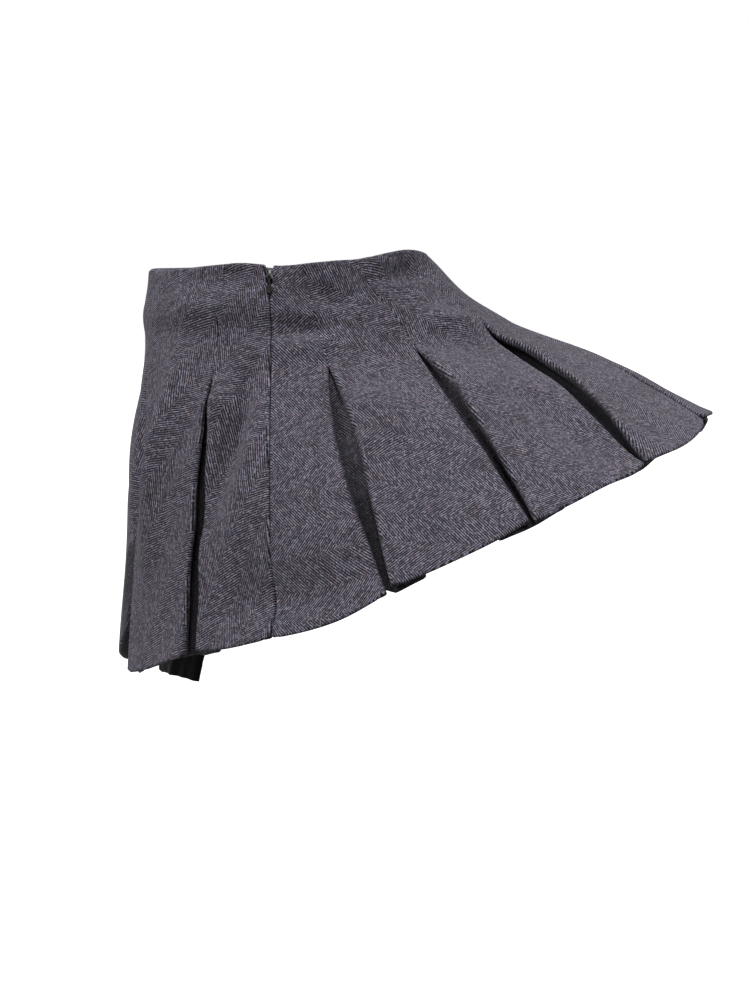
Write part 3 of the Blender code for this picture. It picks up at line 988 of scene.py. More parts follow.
@dataclass
class Gore:
    """One panel of the skirt, with its folded edges, its facing and its hem."""

    form: SkirtForm
    index: int
    drape: Drape
    fold_steps: int = 7
    return_columns: int = 2
    least_columns: int = 8

    def section(self, share: Array, turn: Array) -> Section:
        """Lays out the cloth's cross-section in every row.

        Args:
            share: How far down each row lies.
            turn: How far each row has turned over the waist edge.

        Returns:
            Places round, depths, the wrong side's direction, and distances across.
        """
        keep = WAIST.inner_fold + (1 - WAIST.inner_fold) * (1 + np.cos(turn)) / 2
        sides = []
        for number, side in ((self.index, 1), (self.index + 1, -1)):
            front, radius, reach = fold_of(number, share, side)
            left = keep * pinched(LINES[number % len(LINES)], share)
            radius, whole = radius * left, radius
            reach = front + radius + (reach - front - whole).clip(LEAST_TURNED) * left
            fractions = np.linspace(1.0, 0.0, self.return_columns + 1)[:-1]
            back = (front + radius)[:, None] + (reach - front - radius)[:, None] * fractions
            bend = np.linspace(math.pi, 0.0, self.fold_steps)
            curve = (front + radius)[:, None] - radius[:, None] * np.sin(bend)
            away = np.concatenate((back, curve), axis=1)
            bent = radius[:, None] * (1 - np.cos(bend))
            depth = beside_and_bent(2 * radius[:, None], back, bent)
            depth = depth - fold_lift(number, away, share[:, None], side)
            sides.append(Edge(number, side, away, depth, beside_and_bent(0.0, back, np.sin(bend)),
                              beside_and_bent(-1.0, back, np.cos(bend))))
        return self.join_sides(share, sides)

    def join_sides(self, share: Array, sides: list[Edge]) -> Section:
        """Puts the two folded edges and the flat of the panel into one section.

        Args:
            share: How far down each row lies.
            sides: The edge at the first line, and the one at the next.

        Returns:
            The section, by what its values are.
        """
        hem_width = float(self.form.width(self.index, np.array([1.0]))[0])
        count = max(self.least_columns, round(hem_width / CELL))
        parts = np.linspace(0.0, 1.0, count + 1)[1:-1]
        level = share[:, None]
        places, reaches = [], []
        for edge in sides:
            number, side, away, depth = edge.number, edge.side, edge.away, edge.depth
            around = self.form.beside(number, side * away, np.broadcast_to(level, away.shape))
            steps = np.hypot(np.diff(away, axis=1), np.diff(depth, axis=1))
            arc = np.concatenate((np.cumsum(steps[:, ::-1], axis=1)[:, ::-1],
                                  np.zeros((len(share), 1))), axis=1)
            order = slice(None) if side > 0 else slice(None, None, -1)
            places.append(around[:, -1])
            reaches.append((around[:, order], depth[:, order], side * edge.normal_across[:, order],
                            edge.normal_deep[:, order], -side * arc[:, order]))
        width = self.form.width(self.index, share)[:, None] * (places[1] - places[0])[:, None]
        flat = places[0][:, None] + (places[1] - places[0])[:, None] * parts
        starts = [edge.away[:, -1][:, None] for edge in sides]
        lift = (fold_lift(self.index, starts[0] + parts * width, level, 1)
                + fold_lift(self.index + 1, starts[1] + (1 - parts) * width, level, -1))
        middle = (flat, -lift, np.zeros(flat.shape), np.ones(flat.shape), (parts - 0.5) * width)
        first, last = reaches
        first = first[:-1] + (first[-1] - width / 2,)
        last = last[:-1] + (last[-1] + width / 2,)
        joined = {key: np.concatenate(columns, axis=1) for key, *columns in zip(
            ("around", "depth", "normal_across", "normal_deep", "arc"), first, middle, last)}
        joined["width"] = np.broadcast_to(width, joined["around"].shape)
        joined["part"] = np.clip(joined["arc"] / joined["width"] + 0.5, 0.0, 1.0)
        return joined

    def face(self, rows: tuple[Array, Array], section: Section, offset: Array) -> Array:
        """Lays one face of the cloth.

        Args:
            rows: The share and turn of every row.
            section: The cross-sections.
            offset: How far the face lies from the cloth's middle, towards its wrong side.

        Returns:
            The points.
        """
        share, turn = rows[0][:, None], rows[1][:, None]
        pitch = self.form.width(self.index, rows[0])[:, None]
        around = section["around"] + section["normal_across"] * offset / pitch
        depth = section["depth"] + section["normal_deep"] * offset
        part, drape = section["part"], self.drape
        hanging = (drape.scallop * np.sin(math.pi * part) + drape.ends[0] * (1 - part) ** 2
                   + drape.ends[1] * part ** 2) / CLOTH_LENGTH
        lower, deeper = WAIST.place(share, turn, depth)
        inward = np.minimum(part, 1 - part) * section["width"]
        corner = CORNER / CLOTH_LENGTH * (1 - smooth_step(inward, *CORNER_REACH))
        lower = (lower + hanging * smooth_step(share, HANG_START, 1.0)
                 - corner * smooth_step(share, CORNER_START, 1.0))
        return self.form.laid(around, lower, deeper)

    def shaded(self, share: Array, section: Section) -> Array:
        """Gives how much shade is painted on the cloth, from 0 to 1, behind its folds.

        Args:
            share: How far down each row lies.
            section: The cross-sections.

        Returns:
            The painted shade at every point of the cloth.
        """
        # Painted shade: darker behind each fold, and in a strip low down beside a deeper fold.
        beyond = np.abs(section["arc"]) - section["width"] / 2
        for number, side in ((self.index, -1), (self.index + 1, 1)):
            line = LINES[number % len(LINES)]
            if line.mouth and line.mouth.lift[0 if side > 0 else 1] < UNDERLAP:
                under = smooth_step(share, *SHADED_ROWS)[:, None] * (side * section["arc"] > 0)
                beyond = beyond + SHADED_EDGE * under
        return smooth_step(beyond, 0.0, SHADE_REACH)

    def build(self) -> Piece:
        """Makes the panel's piece.

        Returns:
            The piece, which stands for the panel's solid.
        """
        top_share, top_turn = WAIST.rows()
        down = body_rows(WAIST.start)
        rows = (np.concatenate((top_share, down)),
                np.concatenate((top_turn, np.zeros(down.shape))))
        section = self.section(*rows)
        thick = CLOTH / 2 + HEM.extra * HEM.thickening(rows[0])[:, None]
        outer = self.face(rows, section, np.full(thick.shape, -CLOTH / 2))
        inner = self.face(rows, section, thick)
        middle = (outer + inner) / 2
        cut = FlatCut(self.form, self.index, self.drape.grain, self.drape.start)
        steps = np.linalg.norm(np.diff(middle[:, middle.shape[1] // 2], axis=0), axis=-1)
        past = np.concatenate(([0.0], np.cumsum(steps)))
        past = np.maximum(past[len(top_share)] - past, 0.0)
        level = np.where(past > 0, WAIST.start, rows[0])
        flat = cut.place(section, level, past)
        piece = shell(gore_name(self.index), outer, inner, flat, self.shaded(rows[0], section))
        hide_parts(PANELS[self.index])
        declare_sheet(piece, middle)
        return piece


def declare_sheet(piece: Piece, middle: Array) -> None:
    """Attaches a piece of cloth to the skirt and logs the size that it measures laid flat.

    Args:
        piece: The piece.
        middle: Points of the cloth by row and column.
    """
    width, length, area = flat_size(middle)
    width, length = round(width, 3), round(length, 3)
    area = min(max(area, LEAST_FILL * width * length), width * length)
    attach(piece, SKIRT_BODY)
    LOG.info("%s: %.0f x %.0f mm, %.4f m2", piece.name, width * 1000, length * 1000, area)


@dataclass
class PleatBack:
    """The cloth folded behind two panels: two returns and the underlay between them.

    The underlay bows in between its folds: bow_run is how far below the release it has
    its full bow, and from bow_hem down the bow loses bow_lost of itself. Its drop passes
    from one side's to the other's within drop_reach of the line, below drop_start. Shade
    is painted on it where its bow lies between shade_bow's two values or deeper, and down
    the shares of shade_rows up to shade_hem. The fan spreads the weave towards the hem.
    """

    form: SkirtForm
    index: int
    grain: float
    start: tuple[float, float]
    first_share: float = 0.0145
    fold_steps: int = 5
    return_columns: int = 3
    least_columns: int = 6
    bow_run: float = 0.18
    bow_hem: float = 0.75
    bow_lost: float = 0.6
    drop_reach: float = 0.004
    drop_start: float = 0.8
    fan: float = 0.6
    shade_bow: tuple[float, float] = (0.0042, 0.0062)
    shade_rows: tuple[float, float] = (0.50, 0.85)
    shade_hem: float = 0.9

    def half(self, share: Array, side: int) -> Edge:
        """Lays out a return and the back fold, from the panel's end to the underlay.

        Args:
            share: How far down each row lies.
            side: 1 for the half after the line, and -1 for the one before it.

        Returns:
            The return and its fold.
        """
        _, radius, reach = fold_of(self.index, share, side)
        other = fold_of(self.index, share, -side)[1]
        radius = np.maximum(radius, other)
        tuck = tuck_depth(share) - FOLD_RADIUS
        fractions = np.linspace(0.0, 1.0, self.return_columns + 1)[:-1]
        begin = reach + JOIN_GAP
        back = begin[:, None] + (tuck - begin)[:, None] * fractions
        bend = np.linspace(0.0, math.pi, self.fold_steps)
        curve = tuck[:, None] + FOLD_RADIUS * np.sin(bend)
        away = np.concatenate((back, curve), axis=1)
        level = 2 * radius[:, None]
        depth = beside_and_bent(level, back, level + FOLD_RADIUS * (1 - np.cos(bend)))
        depth = depth - fold_lift(self.index, away, share[:, None], side)
        return Edge(self.index, side, away, depth, beside_and_bent(0.0, back, np.sin(bend)),
                    beside_and_bent(-1.0, back, -np.cos(bend)))

    def build(self) -> Piece:
        """Makes the pleat's piece.

        Returns:
            The piece, which stands for the pleat's solid.
        """
        name, mouth = LINES[self.index].name, LINES[self.index].mouth
        share = body_rows(self.first_share)
        before, after = self.half(share, -1), self.half(share, 1)
        count = max(self.least_columns, round(2 * TUCK_HEM / CELL))
        parts = np.linspace(-1.0, 1.0, count + 1)[1:-1]
        under = ((before.away[:, -1] + after.away[:, -1]) / 2)[:, None] * parts
        level = (before.depth[:, -1] + after.depth[:, -1])[:, None] / 2
        open_part = smooth_step(share, mouth.release, mouth.release + self.bow_run)[:, None]
        open_part *= 1 - self.bow_lost * smooth_step(share, self.bow_hem, 1.0)[:, None]
        sag = mouth.bow * open_part * np.cos(math.pi / 2 * parts) ** 2
        across, depth, normal_across, normal_deep = (
            np.concatenate((first, middle, last[:, ::-1]), axis=1) for first, middle, last in (
                (-before.away, under, after.away),
                (before.depth, level + sag, after.depth),
                (-before.normal_across, np.zeros(under.shape), after.normal_across),
                (before.normal_deep, np.ones(under.shape), after.normal_deep)))
        passed = smooth_step(across, -self.drop_reach, self.drop_reach)
        drop = mouth.drop[0] + (mouth.drop[1] - mouth.drop[0]) * passed
        hanging = smooth_step(share, self.drop_start, 1.0)[:, None]
        lower = share[:, None] + drop / CLOTH_LENGTH * hanging
        thick = CLOTH / 2 + HEM.extra * HEM.thickening(share)[:, None]
        faces = []
        for offset in (np.full(thick.shape, -CLOTH / 2), thick):
            places = self.form.beside(self.index, across + normal_across * offset,
                                      np.broadcast_to(share[:, None], across.shape))
            faces.append(self.form.laid(places, lower, depth + normal_deep * offset))
        outer, inner = faces
        middle = (outer + inner) / 2
        steps = np.linalg.norm(np.diff(middle, axis=1), axis=-1)
        arc = np.concatenate((np.zeros((len(share), 1)), np.cumsum(steps, axis=1)), axis=1)
        arc -= arc[:, -1:] / 2
        cut = FlatCut(self.form, self.index, self.grain, self.start)
        fan = 1 + self.fan * (share[:, None] - 0.5)
        flat = cut.turned(np.stack(np.broadcast_arrays(arc * fan, share[:, None] * CLOTH_LENGTH),
                                   axis=-1))
        # Painted shade: the pleat's cloth is painted darker the deeper its bow, and towards the
        # hem.
        deep = np.maximum(smooth_step(np.array(mouth.bow), *self.shade_bow),
                          self.shade_hem * smooth_step(share, *self.shade_rows))[:, None]
        piece = shell("pleat_back_" + name, outer, inner, flat, np.broadcast_to(deep, arc.shape))
        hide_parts("pleat_" + name)
        declare_sheet(piece, middle)
        return piece


@dataclass
class Lining:
    """The black lining: a front half that hangs, and a back half on the skirt's form.

    It lies waist_depth to hem_depth behind the form, down to the share deepened. The
    front half lets go of it from the share free and ends on the arc of a ring, with its
    hem lowered by dips of (part across, drop), and is drawn_in (part across, spread,
    distance) to clear a pleat. The back half is open at its sides from the share slit.
    """

    form: SkirtForm
    thickness: float = 0.0005
    waist_depth: float = 0.0068
    hem_depth: float = 0.0200
    deepened: float = 0.71
    least_depth: float = 0.0084
    first_share: float = 0.022
    free: float = 0.20
    back_end: float = 0.80
    slit: float = 0.36
    slit_open: float = 0.08
    gap: float = 0.0005
    tube: Ring = Ring(1.0, 0.008, -0.0262, -0.3115, 0.120, 0.098, 0.088, 0.088, 0.0, 0.0)
    tube_arc: tuple[float, float] = (205.0, 332.0)
    dips: tuple[tuple[float, float], ...] = ((0.45, 0.0), (0.63, 0.0055), (0.68, 0.0031),
                                             (0.73, 0.0010), (0.83, -0.0017), (0.93, -0.0029))
    drawn_in: tuple[float, float, float] = (0.28, 0.13, 0.0090)
    drawn_rows: tuple[float, float] = (0.4, 0.9)
    cell: float = 0.0045
    ripple: float = 0.0030
    ripple_rows: tuple[float, float] = (0.05, 0.9)
    front_folds: float = 6.0
    back_folds: float = 9.0
    hem_height: float = 0.012
    hem_step: float = 0.002
    front_size: tuple[float, float] = (0.42, 0.30)
    back_size: tuple[float, float] = (0.62, 0.24)

    def depth_at(self, share: Array) -> Array:
        """Gives how far the lining lies behind the form.

        Args:
            share: How far down.

        Returns:
            The depth, in metres.
        """
        part = np.minimum(1.0, share / self.deepened)
        even = self.waist_depth + (self.hem_depth - self.waist_depth) * part
        return np.maximum(even, self.least_depth)

    def ripples(self, part: Array, share: Array, folds: float) -> Array:
        """Gives how far the loose folds stand inwards: broad ones and small ones on them.

        Args:
            part: How far across this half, from 0 to 1.
            share: How far down.
            folds: How many broad folds there are.

        Returns:
            The distance, in metres.
        """
        drift = 0.6 * np.sin(2 * math.pi * 1.3 * part + 0.8) + 0.35 * share
        broad = 0.5 + 0.5 * np.sin(2 * math.pi * (folds * part + drift))
        small = 0.5 + 0.5 * np.sin(2 * math.pi * (folds * 2.3 * part + 0.7) - 2.0 * share)
        return self.ripple * smooth_step(share, *self.ripple_rows) * (0.7 * broad + 0.3 * small)

    def front_point(self, part: Array, share: Array, depth: Array) -> Array:
        """Gives points of the front half, which lets go of the form and hangs.

        Args:
            part: How far across this half, from 0 to 1.
            share: How far down.
            depth: How deep in the lining's thickness.

        Returns:
            The points.
        """
        first = self.form.beside(RIGHT_SEAM, np.full(share.shape, self.gap / 2), share)
        last = self.form.beside(LEFT_SEAM + len(LINES), np.full(share.shape, -self.gap / 2), share)
        around = first + (last - first) * part
        place, spread, inward = self.drawn_in
        clear = inward * np.exp(-((part - place) / spread) ** 2)
        clear = clear * smooth_step(share, *self.drawn_rows)
        depth = depth + self.ripples(part, share, self.front_folds) + clear
        on_form = self.form.laid(around, share, self.depth_at(share) + depth)
        start, end = self.tube_arc
        hem = self.tube.points(start + (end - start) * part)
        hem[..., 2] -= np.interp(part, *zip(*self.dips))
        outward = hem - np.array((0.0, self.tube.mid_y, 0.0))
        outward[..., 2] = 0.0
        outward /= np.linalg.norm(outward, axis=-1, keepdims=True)
        top = self.form.laid(around, np.zeros(share.shape), self.least_depth + depth)
        hanging = top + (hem - outward * depth[..., None] - top) * share[..., None]
        loose = smooth_step(share, self.free, 1.0)[..., None]
        return on_form * (1 - loose) + hanging * loose

    def back_point(self, part: Array, share: Array, depth: Array) -> Array:
        """Gives points of the back half, which swings with the skirt.

        Args:
            part: How far across this half, from 0 to 1.
            share: How far down.
            depth: How deep in the lining's thickness.

        Returns:
            The points.
        """
        aside = self.gap / 2 + self.slit_open * np.maximum(0.0, share - self.slit)
        first = self.form.beside(LEFT_SEAM, aside, share)
        last = self.form.beside(RIGHT_SEAM, -aside, share)
        around = first + (last - first) * part
        depth = depth + self.ripples(part, share, self.back_folds)
        return self.form.laid(around, share, self.depth_at(share) + depth)

    def half(self, name: str, node: str, point_at: Callable[..., Array], last_share: float,
             size: tuple[float, float]) -> Piece:
        """Makes one half of the lining, with its narrow hem.

        Args:
            name: The piece's name.
            node: The solid that it stands for.
            point_at: Gives points of this half.
            last_share: How far down it ends.
            size: Its rough width at the hem, and its length.

        Returns:
            The piece.
        """
        columns = round(size[0] / self.cell)
        rows = round(size[1] / self.cell)
        hem_edge = last_share - self.hem_height / CLOTH_LENGTH
        step = (hem_edge - self.hem_step, hem_edge + self.hem_step)
        shares = np.linspace(self.first_share, last_share, rows)
        shares = np.unique(np.concatenate((shares, step, (last_share - self.hem_step,))))
        share, part = np.meshgrid(shares, np.linspace(0.0, 1.0, columns + 1), indexing="ij")
        hem = smooth_step(share, *step)
        outer = point_at(part, share, np.zeros(share.shape))
        inner = point_at(part, share, self.thickness * (1 + hem))
        middle = (outer + inner) / 2
        flat = np.stack(((part - 0.5) * size[0], share * CLOTH_LENGTH), axis=-1)
        piece = shell(name, outer, inner, flat)
        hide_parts(node)
        declare_sheet(piece, middle)
        return piece

    def build(self) -> list[Piece]:
        """Makes both halves.

        Returns:
            The pieces, front half first.
        """
        return [self.half("lining_front_half", "lining_front", self.front_point, 1.0,
                          self.front_size),
                self.half("lining_back_half", "lining_back", self.back_point, self.back_end,
                          self.back_size)]


# --------------------------------------------------------------------------- zip


# From which part of its length an edge, or a face's direction, counts as along an axis;
# the least angle of an edge that is bevelled, and the greatest between faces that are
# shaded as one, in degrees.
ALIGNED = 0.9
SHARP_ANGLE = 35.0
SMOOTH_ANGLE = 40.0


def clear_selection() -> None:
    """Deselects every object, so that an operator acts on a new piece alone."""
    if bpy.context.object and bpy.context.object.mode != "OBJECT":
        bpy.ops.object.mode_set(mode="OBJECT")
    bpy.ops.object.select_all(action="DESELECT")
    bpy.context.view_layer.objects.active = None


def choose(item: Piece, kind: str, test: Callable[..., bool]) -> None:
    """Selects some edges or faces of the piece in edit mode.

    Args:
        item: The piece, which is active.
        kind: "EDGE" or "FACE".
        test: Says whether an element is wanted.
    """
    bpy.ops.object.mode_set(mode="EDIT")
    bpy.ops.mesh.select_mode(type=kind)
    bpy.ops.mesh.select_all(action="DESELECT")
    build = bmesh.from_edit_mesh(item.data)
    for element in build.edges if kind == "EDGE" else build.faces:
        if test(element):
            element.select_set(True)
    build.select_flush_mode()
    bmesh.update_edit_mesh(item.data)


def runs_along(edge: bmesh.types.BMEdge, axis: int) -> bool:
    """Says whether an edge runs along an axis."""
    first, second = (vertex.co for vertex in edge.verts)
    return abs((first - second).normalized()[axis]) > ALIGNED


def whole_mesh_edit(edit: Callable[[], object]) -> None:
    """Does an edit to the whole mesh of the active piece.

    Args:
        edit: Does the edit, in edit mode with all selected.
    """
    bpy.ops.object.mode_set(mode="EDIT")
    bpy.ops.mesh.select_all(action="SELECT")
    edit()
    bpy.ops.object.mode_set(mode="OBJECT")


def box_piece(name: str, low: Sequence[float], high: Sequence[float]) -> Piece:
    """Adds a block between two corners, ready to be shaped, with its place in its mesh.

    Args:
        name: The piece's name.
        low: The corner with the lowest values.
        high: The corner with the highest.

    Returns:
        The piece, which is active.
    """
    clear_selection()
    bpy.ops.mesh.primitive_cube_add(size=1.0)
    item = bpy.context.object
    item.name = item.data.name = name
    item.scale = [b - a for a, b in zip(low, high)]
    item.location = [(a + b) / 2 for a, b in zip(low, high)]
    bpy.ops.object.transform_apply(location=True, rotation=True, scale=True)
    return item


def soften(item: Piece, width: float, segments: int = 2) -> None:
    """Bevels a piece's sharp edges and smooths its faces.

    Args:
        item: The piece, which is active.
        width: The width of the bevel.
        segments: How many faces the bevel has across.
    """
    if bpy.context.object.mode != "OBJECT":
        bpy.ops.object.mode_set(mode="OBJECT")
    bevel = item.modifiers.new("soft edges", "BEVEL")
    bevel.width, bevel.segments = width, segments
    bevel.limit_method, bevel.angle_limit = "ANGLE", math.radians(SHARP_ANGLE)
    bpy.ops.object.modifier_apply(modifier=bevel.name)
    bpy.ops.object.shade_smooth_by_angle(angle=math.radians(SMOOTH_ANGLE))


def join_pieces(name: str, items: Sequence[Piece]) -> Piece:
    """Joins pieces into the first one and names it.

    Args:
        name: The joined piece's name.
        items: The pieces.

    Returns:
        The joined piece.
    """
    clear_selection()
    for item in items:
        item.select_set(True)
    bpy.context.view_layer.objects.active = items[0]
    bpy.ops.object.join()
    joined = bpy.context.object
    joined.name = joined.data.name = name
    return joined


@dataclass(frozen=True)
class SliderSizes:
    """Sizes of the slider and its pull, in the zip's own axes: X out, Y across, Z up.

    The plate has corners rounded by a part of its half width and a rim (width, height),
    and the plate behind is parts of it: its thickness, width and corners. The post's rows
    are below the top. The ears reach from behind the face to past the bar, and below and
    above it. The pull flares between parts of its length, ends in a round from another,
    and has a sunk panel (low, high, half its width) as parts of its size.
    """

    edge: float = 0.00012
    face: float = CLOTH / 2 + 0.0008
    width: float = 0.0038
    height: float = 0.0080
    plate: float = 0.0010
    corner: float = 0.55
    rim: tuple[float, float] = (0.00035, 0.00018)
    narrowing: float = 0.20
    behind: tuple[float, float, float] = (0.8, 0.95, 0.5)
    post: float = 0.0014
    post_rows: tuple[float, float] = (0.0030, 0.0006)
    post_edge: float = 0.0002
    back: float = -0.0050
    bar_lift: float = 0.0018
    bar_drop: float = 0.0026
    bar_radius: float = 0.00045
    ear: float = 0.0008
    ear_round: float = 0.0009
    ear_reach: tuple[float, float] = (0.0005, 0.0004)
    ear_rows: tuple[float, float] = (0.0010, 0.0016)
    eye_hole: float = 0.00085
    eye_radius: float = 0.00145
    eye_width: float = 0.0016
    pull_length: float = 0.0132
    pull_width: float = 0.0038
    pull_neck: float = 0.0017
    pull_thickness: float = 0.0010
    pull_flare: tuple[float, float] = (0.12, 0.74)
    pull_end: float = 0.80
    pull_round: float = 0.94
    pull_edge: float = 0.00014
    panel: tuple[float, float, float] = (0.93, 0.42, 0.26)
    panel_sunk: tuple[float, float] = (0.00025, -0.00016)


@dataclass
class Zip:
    """The side zip: tapes and closed coil behind the seam, stop, slider and pull.

    The tape's ridge and dip are (how wide, how high); the coil's ends are shares past the
    tape's first row and before its last; the lifts are depths behind the tape. A link of
    the coil is a ring, a part of the coil's half width, stretched by coil_shape.
    """

    form: SkirtForm
    sizes: SliderSizes = SliderSizes()
    tape_depth: float = 0.0030
    tape: float = 0.0006
    tape_half: float = 0.0070
    tape_cells: tuple[int, int] = (90, 17)
    tape_ridge: tuple[float, float] = (0.0012, 0.00012)
    tape_dip: tuple[float, float] = (0.0006, 0.0004)
    coil_pitch: float = 0.0013
    coil_half: float = 0.0016
    coil_ring: float = 0.62
    coil_wire: float = 0.00028
    coil_shape: tuple[float, float, float] = (0.5, 1.45, 1.0)
    coil_lean: float = 14.0
    coil_lift: float = 0.0007
    coil_ends: tuple[float, float] = (0.012, 0.020)
    stop_share: float = ZIP_END - 0.018
    stop_lift: float = 0.0006
    stop_low: tuple[float, float, float] = (-0.0009, -0.0019, -0.0013)
    stop_high: tuple[float, float, float] = (0.0007, 0.0019, 0.0013)
    stop_edge: float = 0.0003
    first_share: float = 0.036
    pieces: dict[str, Piece] = field(default_factory=dict, init=False)

    def places(self, share: Array, depth: float | None = None) -> list[Matrix]:
        """Gives places down the seam: X out of the cloth, Y across it and Z up it.

        Args:
            share: How far down each place is.
            depth: How far behind the creased cloth, or None for the form itself.

        Returns:
            The places, from the zip's own axes to the skirt's.
        """
        around = np.full(share.shape, float(LEFT_SEAM))
        _, down, out = self.form.axes(around, share)
        centres = (self.form.point(around, share) if depth is None
                   else self.form.laid(around, share, np.full(share.shape, depth)))
        found = []
        for centre, up, outward in zip(centres, -down, out):
            up, outward = Vector(up), Vector(outward)
            turned = Matrix((outward, up.cross(outward), up)).transposed().to_4x4()
            found.append(Matrix.Translation(Vector(centre)) @ turned)
        return found

    def keep(self, item: Piece, slot: str, node: str | None = None,
             body: str = SKIRT_BODY) -> None:
        """Says what a finished piece rides on and stands for, keeps it and logs its faces.

        Args:
            item: The piece, in its place.
            slot: Not used.
            node: The solid that it stands for, if there is one.
            body: The body that it rides on.
        """
        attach(item, body)
        if node:
            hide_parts(node)
        self.pieces[item.name] = item
        LOG.info("%s: %d faces", item.name, len(item.data.polygons))

    def make_tape(self) -> None:
        """Makes the two woven tapes as one closed band, with a ridge along each edge."""
        share = np.linspace(self.first_share, ZIP_END, self.tape_cells[0])
        across = np.linspace(-self.tape_half, self.tape_half, self.tape_cells[1])
        around = self.form.beside(LEFT_SEAM, np.broadcast_to(across, self.tape_cells),
                                  np.broadcast_to(share[:, None], self.tape_cells))
        ridge, rise = self.tape_ridge
        edge = rise * smooth_step(np.abs(across), self.tape_half - ridge, self.tape_half)
        reach, deep = self.tape_dip
        dip = deep * np.exp(-(across / reach) ** 2)
        outer = self.form.laid(around, share[:, None], self.tape_depth - edge + dip)
        inner = self.form.laid(around, share[:, None], self.tape_depth + self.tape + edge + dip)
        flat = np.stack(np.broadcast_arrays(across[None, :], share[:, None] * CLOTH_LENGTH),
                        axis=-1)
        piece = shell("zip_tape_band", outer, inner, flat)
        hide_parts("zip_tape")
        declare_sheet(piece, (outer + inner) / 2)
        self.pieces[piece.name] = piece

    def make_coil(self) -> None:
        """Makes one link of the coil, and copies it down the zip."""
        clear_selection()
        bpy.ops.mesh.primitive_torus_add(major_radius=self.coil_half * self.coil_ring,
                                         minor_radius=self.coil_wire,
                                         major_segments=10, minor_segments=5)
        link = bpy.context.object

        def lean() -> None:
            """Flattens the link and turns it to the coil's slope."""
            bpy.ops.transform.resize(value=self.coil_shape)
            bpy.ops.transform.rotate(value=math.radians(self.coil_lean), orient_axis="X",
                                     center_override=(0, 0, 0))

        whole_mesh_edit(lean)
        bpy.ops.object.shade_smooth()
        start = self.first_share + self.coil_ends[0]
        count = int((ZIP_END - self.coil_ends[1] - start) * CLOTH_LENGTH / self.coil_pitch)
        shares = start + np.arange(count) * self.coil_pitch / CLOTH_LENGTH
        links = [link]
        for k in range(1, count):
            item = bpy.data.objects.new(f"link_{k}", link.data.copy())
            bpy.context.scene.collection.objects.link(item)
            links.append(item)
        places = self.places(shares, self.tape_depth + self.tape + self.coil_lift)
        for item, place in zip(links, places):
            item.data.transform(place)
        self.keep(join_pieces("zip_coil", links), "zip_tape")

    def make_slider(self) -> None:
        """Makes the slider: a shield-shaped plate, a post, a plate behind, and the bar."""
        s = self.sizes
        half, tall = s.width / 2, s.height / 2
        plate = box_piece("plate", (s.face - s.plate, -half, -tall), (s.face, half, tall))
        choose(plate, "EDGE", lambda edge: runs_along(edge, 0))
        bpy.ops.mesh.bevel(offset=half * s.corner, segments=4)
        choose(plate, "FACE", lambda face: face.normal.x > ALIGNED)
        bpy.ops.mesh.inset(thickness=s.rim[0], depth=s.rim[1])
        bpy.ops.mesh.select_all(action="SELECT")
        bpy.ops.object.mode_set(mode="OBJECT")
        for vertex in plate.data.vertices:
            vertex.co.y *= 1.0 - s.narrowing * (0.5 - vertex.co.z / s.height)
        soften(plate, s.edge)
        post = box_piece("post", (s.back, -s.post / 2, tall - s.post_rows[0]),
                         (s.face - s.plate, s.post / 2, tall - s.post_rows[1]))
        soften(post, s.post_edge)
        thin, narrow, corner = s.behind
        behind = box_piece("behind", (s.back - s.plate * thin, -half * narrow, -tall),
                           (s.back, half * narrow, tall))
        choose(behind, "EDGE", lambda edge: runs_along(edge, 0))
        bpy.ops.mesh.bevel(offset=half * corner, segments=3)
        soften(behind, s.edge)
        parts = [plate, post, behind]
        bar_x = s.face + s.bar_lift
        for side in (-1, 1):
            middle = side * (half - s.ear / 2)
            ear = box_piece("ear", (s.face - s.ear_reach[0], middle - s.ear / 2,
                                    -s.bar_drop - s.ear_rows[0]),
                            (bar_x + s.bar_radius + s.ear_reach[1], middle + s.ear / 2,
                             -s.bar_drop + s.ear_rows[1]))
            choose(ear, "EDGE", lambda edge: runs_along(edge, 1) and edge.verts[0].co.x > bar_x)
            bpy.ops.mesh.bevel(offset=s.ear_round, segments=4)
            soften(ear, s.edge)
            parts.append(ear)
        clear_selection()
        bpy.ops.mesh.primitive_cylinder_add(radius=s.bar_radius, depth=s.width - s.ear,
                                            vertices=20, location=(bar_x, 0.0, -s.bar_drop),
                                            rotation=(math.pi / 2, 0.0, 0.0))
        bpy.ops.object.transform_apply(location=True, rotation=True, scale=True)
        bpy.ops.object.shade_smooth_by_angle(angle=math.radians(SMOOTH_ANGLE))
        parts.append(bpy.context.object)
        slider = join_pieces("zip_slider_body", parts)
        slider.data.transform(self.slider_place())
        self.keep(slider, "slider_metal", "zip_slider")

